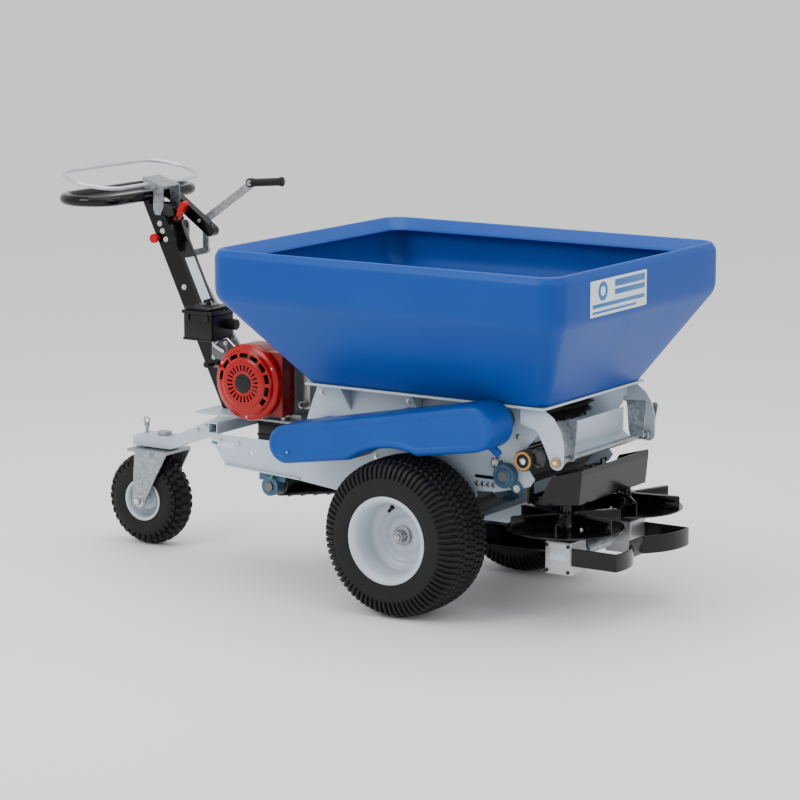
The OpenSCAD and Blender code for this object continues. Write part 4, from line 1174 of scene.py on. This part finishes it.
# %% Tube loops
def stadium(half_x, half_y, steps=24):
    """A closed path of two half circles joined by straights along Y, in the XY plane."""
    arc = np.linspace(0, math.pi, steps)
    top = np.stack([half_x * np.cos(arc), half_y - half_x + half_x * np.sin(arc)], -1)
    flat = np.vstack([top, -top])
    straight = np.linspace(0, 1, 9)[1:-1, None]
    sides = [flat[steps - 1] * (1 - straight) + flat[steps] * straight,
             flat[-1] * (1 - straight) + flat[0] * straight]
    path = np.vstack([flat[:steps], sides[0], flat[steps:], sides[1]])
    return np.column_stack([path, np.zeros(len(path))])


bar_path = stadium(85, 230) + (-1115, 0, 985)
bar_parts = [tube(bar_path, 15, (0, 0, 1), 24, True)]
build("handlebar_tube", bar_parts, ["black_paint"], "chassis", ("handlebar_loop",))
tilt = math.radians(12.4)
flat_path = stadium(90, 245)
bail_path = np.column_stack([flat_path[:, 0] * math.cos(tilt), flat_path[:, 1],
                             -flat_path[:, 0] * math.sin(tilt)]) + (-1105, 0, 1037.8)
build("bail_wire_loop", [tube(bail_path, 5.5, (math.sin(tilt), 0, math.cos(tilt)), 16, True)], ["bail_wire"],
      "bail", ("bail_rod",))

# %% [markdown]
# ### Grip on the feed lever
# A rubber sleeve pushed over a bar, ribbed so that a wet hand holds it. A square wave on the radius makes
# the ribs.

# %% Ribbed grip
grip_turn = math.radians(85)
grip_axis = np.array((math.sin(grip_turn), 0, math.cos(grip_turn)))
ripple = np.linspace(4, 96, 93)
grip_profile = [(8.5, 0), (11, 1.5), *zip(10.6 + 0.5 * np.sign(np.sin(ripple * 1.15)), ripple), (11, 98),
                (13, 99), (13, 105), (11, 106)]
grip = [lathe(grip_profile, (-742, 62, 1030), grip_axis, 32),
        lathe([(8.1, -8), (12.6, -8), (13, -7), (13, 7), (12.6, 8), (8.1, 8)], (-742, 62, 1030), (0, 1, 0),
              32, True)]
build("ribbed_grip", grip, ["black_plastic"], "feed_hand_lever", ("lever_grip",))

# %% [markdown]
# ### Bolt heads
# The frame is bolted together, and each head sits on a face whose place is known. Loops over both sides
# place them in rows.

# %% Frame bolt heads
mast_lean = (-1007 + 745) / (965 - 417)


def on_mast(height, offset=0.0):
    """X of the mast's centre line at a height."""
    return -745 + mast_lean * (height - 417) + offset


bolts = []
for z in (912, 892, 870, 742):
    bolts += bolt((on_mast(z), -35, z), (0, -1, 0), 9)
for s in (-1, 1):
    for sign in (-1, 1):
        bolts += bolt((239 + sign * 32, s * 214, 369 - sign * 30), (0, s, 0), 11)
    for x in (150, 166, 182, 198):
        bolts += bolt((x, s * 204, 338), (0, s, 0), 8)
    for x, z in ((-60, 530), (120, 540), (270, 470), (-330, 528), (300, 535)):
        bolts += bolt((x, s * 204, z), (0, s, 0), 9)
    for x in (-660, -600, -420, -160):
        bolts += bolt((x, s * 204, 366 - 0.05 * x if x > -300 else 366), (0, s, 0), 8)
for x in (-865, -835):
    bolts += bolt((x, -30, 346 + (x + 865) * 0.49), (0, -1, 0), 10)
for x in (-640, -530):
    bolts += bolt((x, -94, 417), (0, 0, 1), 12)
build("frame_bolt_heads", bolts, ["fastener_zinc"], "chassis", ("frame_bolts",))

# %% [markdown]
# ### Pivots and bearing caps
# The gate turns in bronze washers, and each bearing has a green grease cap or a round cover.

# %% Gate pivots and bearing caps
pivots = []
for s in (-1, 1):
    pivots += marked([lathe([(13, 0), (13, 2), (12, 2.6), (9, 2.6)], (402, s * 244 if s < 0 else 246, 424),
                            (0, s, 0), 28)], 0)
    pivots += marked([lathe([(6.6, 2), (6.6, 5), (5.6, 6)], (402, s * 244, 424), (0, s, 0), 24)], 1)
build("gate_pivot_washers", pivots, ["bronze", "fastener_zinc"], "gate_bar")

caps = []
for s in (-1, 1):
    for x, z in ((239, 369), (-494, 259)):
        caps.append((*lathe([(5, 22), (5, 30), (4, 31.4)], (x, s * 212, z), (0.3, 0, 1), 16), 0))
    caps.append((*lathe([(6, 0), (6, 6), (4, 7)], (322, s * 196, 412), (0.6, 0, 0.8), 16), 0))
    caps.append((*lathe([(20, 0), (20, 2.4), (17, 4), (14, 4)], (239, s * 226, 369), (0, s, 0), 36), 1))
build("bearing_caps", caps, ["cap_green", "bearing_paint"], "chassis")

# %% [markdown]
# ### Small labels
# Warning and type plates, left blank: one on the side plate and one strip on the mast.

# %% Blank labels
labels = [(*plate(rounded([(-692, 352), (-612, 346), (-612, 362), (-692, 368)], 2), -205, -203.9, 0.2), 0)]
mark = rounded([(-686, 355), (-668, 353.6), (-668, 361), (-686, 362.4)], 1)
labels.append((*plate(mark, -205.2, -204.8, 0.1), 1))
low, high = 640, 820
strip = np.array([(on_mast(z, 30), y, z) for y, z in ((-20, low), (-20, high), (20, high), (20, low))])
labels.append((*loft(np.stack([strip - (0.6, 0, 0), strip + (0.9, 0, 0.4)])), 0))
build("blank_labels", labels, ["label_white", "label_blue"], "chassis")

# %% [markdown]
# ## Conveyor, brush and spinners
# The belt is a flat loop with moulded cleats, so its outer skin rises and falls along the run. The brush
# is a core with hundreds of tufts, each only a few faces. The spinner discs are lathe shapes with six
# folded vanes.

# %% Belt with cleats
REAR_ROLLER, FRONT_ROLLER = np.array((-494.0, 259.0)), np.array((239.0, 369.0))


def belt_loop(reach, count):
    """Points round both rollers at a distance reach from their centres, evenly spaced."""
    outline = strap(REAR_ROLLER, FRONT_ROLLER, 2 * reach, 25)
    closed_line = np.vstack([outline, outline[:1]])
    line, marks = spaced(closed_line, count + 1)
    return line[:-1], marks[:-1] - marks[0]


belt_in, _ = belt_loop(28.4, 560)
belt_out, _ = belt_loop(33.6, 560)
belt_cleat, _ = belt_loop(38.6, 560)
cleat = (np.arange(560) % 14 < 3)[:, None]
belt_skin = np.where(cleat, belt_cleat, belt_out)
belt_grid = []
for points, level in ((belt_in, -164.8), (belt_out, -164.8), (belt_skin, -150), (belt_skin, 150),
                      (belt_out, 164.8), (belt_in, 164.8)):
    belt_grid.append(upright(points, level))
belt_rings = np.array(belt_grid).transpose(1, 0, 2)
build("cleated_belt", [loft(belt_rings, closed=True)], ["belt_rubber"], "chassis", ("conveyor_belt",),
      sharp=30)

# %% [markdown]
# ### Brush
# The brush knocks lumps off the belt. Every hair is a three-sided taper from foot to tip, and all of them
# are worked out as one array, with a fixed seed so that each run gives the same brush.

# %% Bristles and core
BRUSH = np.array((232.0, 0.0, 512.0))
rows, tufts, hairs = 12, 58, 5
row, tuft, hair = np.meshgrid(np.arange(rows), np.arange(tufts), np.arange(hairs), indexing="ij")
spread = np.random.default_rng(4)
along = (-166 + 332 * tuft / (tufts - 1) + (hair - 2) * 1.1).ravel()
around = (TURN * row / rows + 0.105 * np.sin(tuft / tufts * TURN)).ravel() + (hair.ravel() % 3 - 1) * 0.04
tip_turn = around + spread.normal(0, 0.035, along.size)
tip_reach = 49.4 + spread.uniform(-2.0, 0, along.size)
corner_turn = np.linspace(0, TURN, 3, endpoint=False)
foot = np.stack([BRUSH[0] + 24 * np.cos(around), along, BRUSH[2] + 24 * np.sin(around)], -1)[:, None]
across_hair = np.sin(corner_turn) + 0 * around[:, None]
ring = 1.1 * np.stack([-np.sin(around)[:, None] * np.cos(corner_turn), across_hair,
                       np.cos(around)[:, None] * np.cos(corner_turn)], -1)
tip = np.stack([BRUSH[0] + tip_reach * np.cos(tip_turn), along + spread.normal(0, 1.2, along.size),
                BRUSH[2] + tip_reach * np.sin(tip_turn)], -1)[:, None]
hair_points = np.concatenate([foot + ring, tip + 0.5 * ring], 1)
first = 6 * np.arange(along.size)[:, None]
sides_of_hair = [first + np.array([[k, (k + 1) % 3, 3 + (k + 1) % 3, 3 + k]]) for k in range(3)]
hair_ends = [first + np.array([[2, 1, 0]]), first + np.array([[3, 4, 5]])]
bristles = outward(hair_points.reshape(-1, 3), [*sides_of_hair, *hair_ends])
core = [lathe([(12.5, -318), (12.5, 235)], BRUSH, (0, 1, 0), 28), lathe([(24, -172), (26, -171), (26, 171),
        (24, 172)], BRUSH, (0, 1, 0), 40)]


# %% [markdown]
# ### Brush sprockets
# A sprocket is a plate whose outline swells once per tooth.


# %% Brush sprockets
def sprocket(centre, teeth, radius, low, high):
    """A toothed wheel: radius plus a rounded ripple, once per tooth."""
    turn = np.linspace(0, TURN, teeth * 8, endpoint=False)
    edge = radius + 2.6 * np.clip(np.sin(turn * teeth), -0.4, 0.8)
    outline = np.stack([centre[0] + edge * np.cos(turn), centre[2] + edge * np.sin(turn)], -1)
    return plate(outline, low, high, 0.5)


wheels = [sprocket(BRUSH, 12, 16.2, -311.6, -304.4), sprocket(BRUSH, 12, 16.2, 228.4, 233.6)]
build("rotary_brush", marked([bristles], 0) + marked(core[:1] + wheels, 1) + marked(core[1:], 0),
      ["bristle", "roller_steel"], "brush", ("beater_brush",), sharp=60)

# %% [markdown]
# ### Spinner discs
# Each disc throws the material outwards with six vanes, folded over at the top for stiffness. The left
# and right discs are mirror images, so the side enters the vane angle and the fold.


# %% Spinner discs
def spinner(side):
    """Disc, hub and cap by lathe; six vanes folded over at the top, turned about the spindle."""
    centre = np.array((382.0, side * 155.0, 0.0))
    profile = [(12, 195), (12, 240), (149, 240), (150, 241), (150, 243), (149, 244), (40, 244), (30, 246),
               (27, 250), (26, 280), (24, 282), (15, 282), (14, 283), (14, 302), (12, 304)]
    parts = [lathe(profile, centre, (0, 0, 1), 72)]
    outline = rounded([(22, 244), (148, 244), (148, 278), (141, 280), (22, 280)], 4)
    for k in range(6):
        turn = side * math.radians(10 + 60 * k)
        upright_vane = plate(outline, -2.0, 2.0, 0.6)
        fold = block(24, 142, -12 if side > 0 else -1, 1 if side > 0 else 12, 276.6, 279.8, 3, 0.8)
        for points, faces in (upright_vane, fold):
            spun = points.copy()
            spun[:, 0] = points[:, 0] * math.cos(turn) - points[:, 1] * math.sin(turn)
            spun[:, 1] = points[:, 0] * math.sin(turn) + points[:, 1] * math.cos(turn)
            parts.append((spun + centre, faces))
        head = np.array((60 * math.cos(turn + side * 0.18), 60 * math.sin(turn + side * 0.18), 244)) + centre
        parts += marked(bolt(head, (0, 0, 1), 9), 1)
    return parts


for name, side in (("right", -1), ("left", 1)):
    build("spinner_disc_and_vanes_" + name, spinner(side), ["black_paint", "fastener_zinc"],
          "spinner_disc_" + name, ("spinner_" + name,))

# %% [markdown]
# ### Gearboxes
# A right-angle gearbox under each disc turns the cross shaft into the spindle. It is a rounded block with
# a cover plate and four screws.

# %% Gearboxes
boxes = []
gear_low, gear_high = (corner[2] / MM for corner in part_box("spinner_gearboxes"))
GEAR_Z = (gear_low + gear_high) / 2
for side in (-1, 1):
    y = side * 155
    boxes.append((*block(343.5, 420.5, y - 38.5, y + 38.5, gear_low, gear_high, 5, 2), 0))
    face = rounded([(346.5, gear_low + 3), (417.5, gear_low + 3), (417.5, gear_high - 3),
                    (346.5, gear_high - 3)], 4)
    boxes.append((*plate(face, *sorted((side * 193.5, side * 196.5)), 0.6), 0))
    for dx in (-31, 31):
        for dz in (-33, 33):
            spot = (382 + dx, side * 196.4, GEAR_Z + dz)
            screw = [(4.6, 0), (4.6, 2.6), (3.6, 3.2), (2.2, 3.2), (2.0, 1.6)]
            boxes.append((*lathe(screw, spot, (0, side, 0), 24), 1))
    blank = rounded([(360, GEAR_Z - 4), (404, GEAR_Z - 4), (404, GEAR_Z + 15), (360, GEAR_Z + 15)], 1.5)
    boxes.append((*plate(blank, *sorted((side * 196.3, side * 197)), 0.2), 2))
    boxes.append((*lathe([(24, 0), (24, 5), (20, 8), (13, 8)], (382, y, gear_high), (0, 0, 1), 36), 1))
    inner = sorted((side * 116.5, side * 110))
    boxes.append((*lathe([(19, inner[0]), (19, inner[1])], (382, 0, GEAR_Z), (0, 1, 0), 32), 0))
build("gearbox_cases", boxes, ["gearbox_alloy", "black_plastic", "label_white"], "chassis",
      ("spinner_gearboxes",))
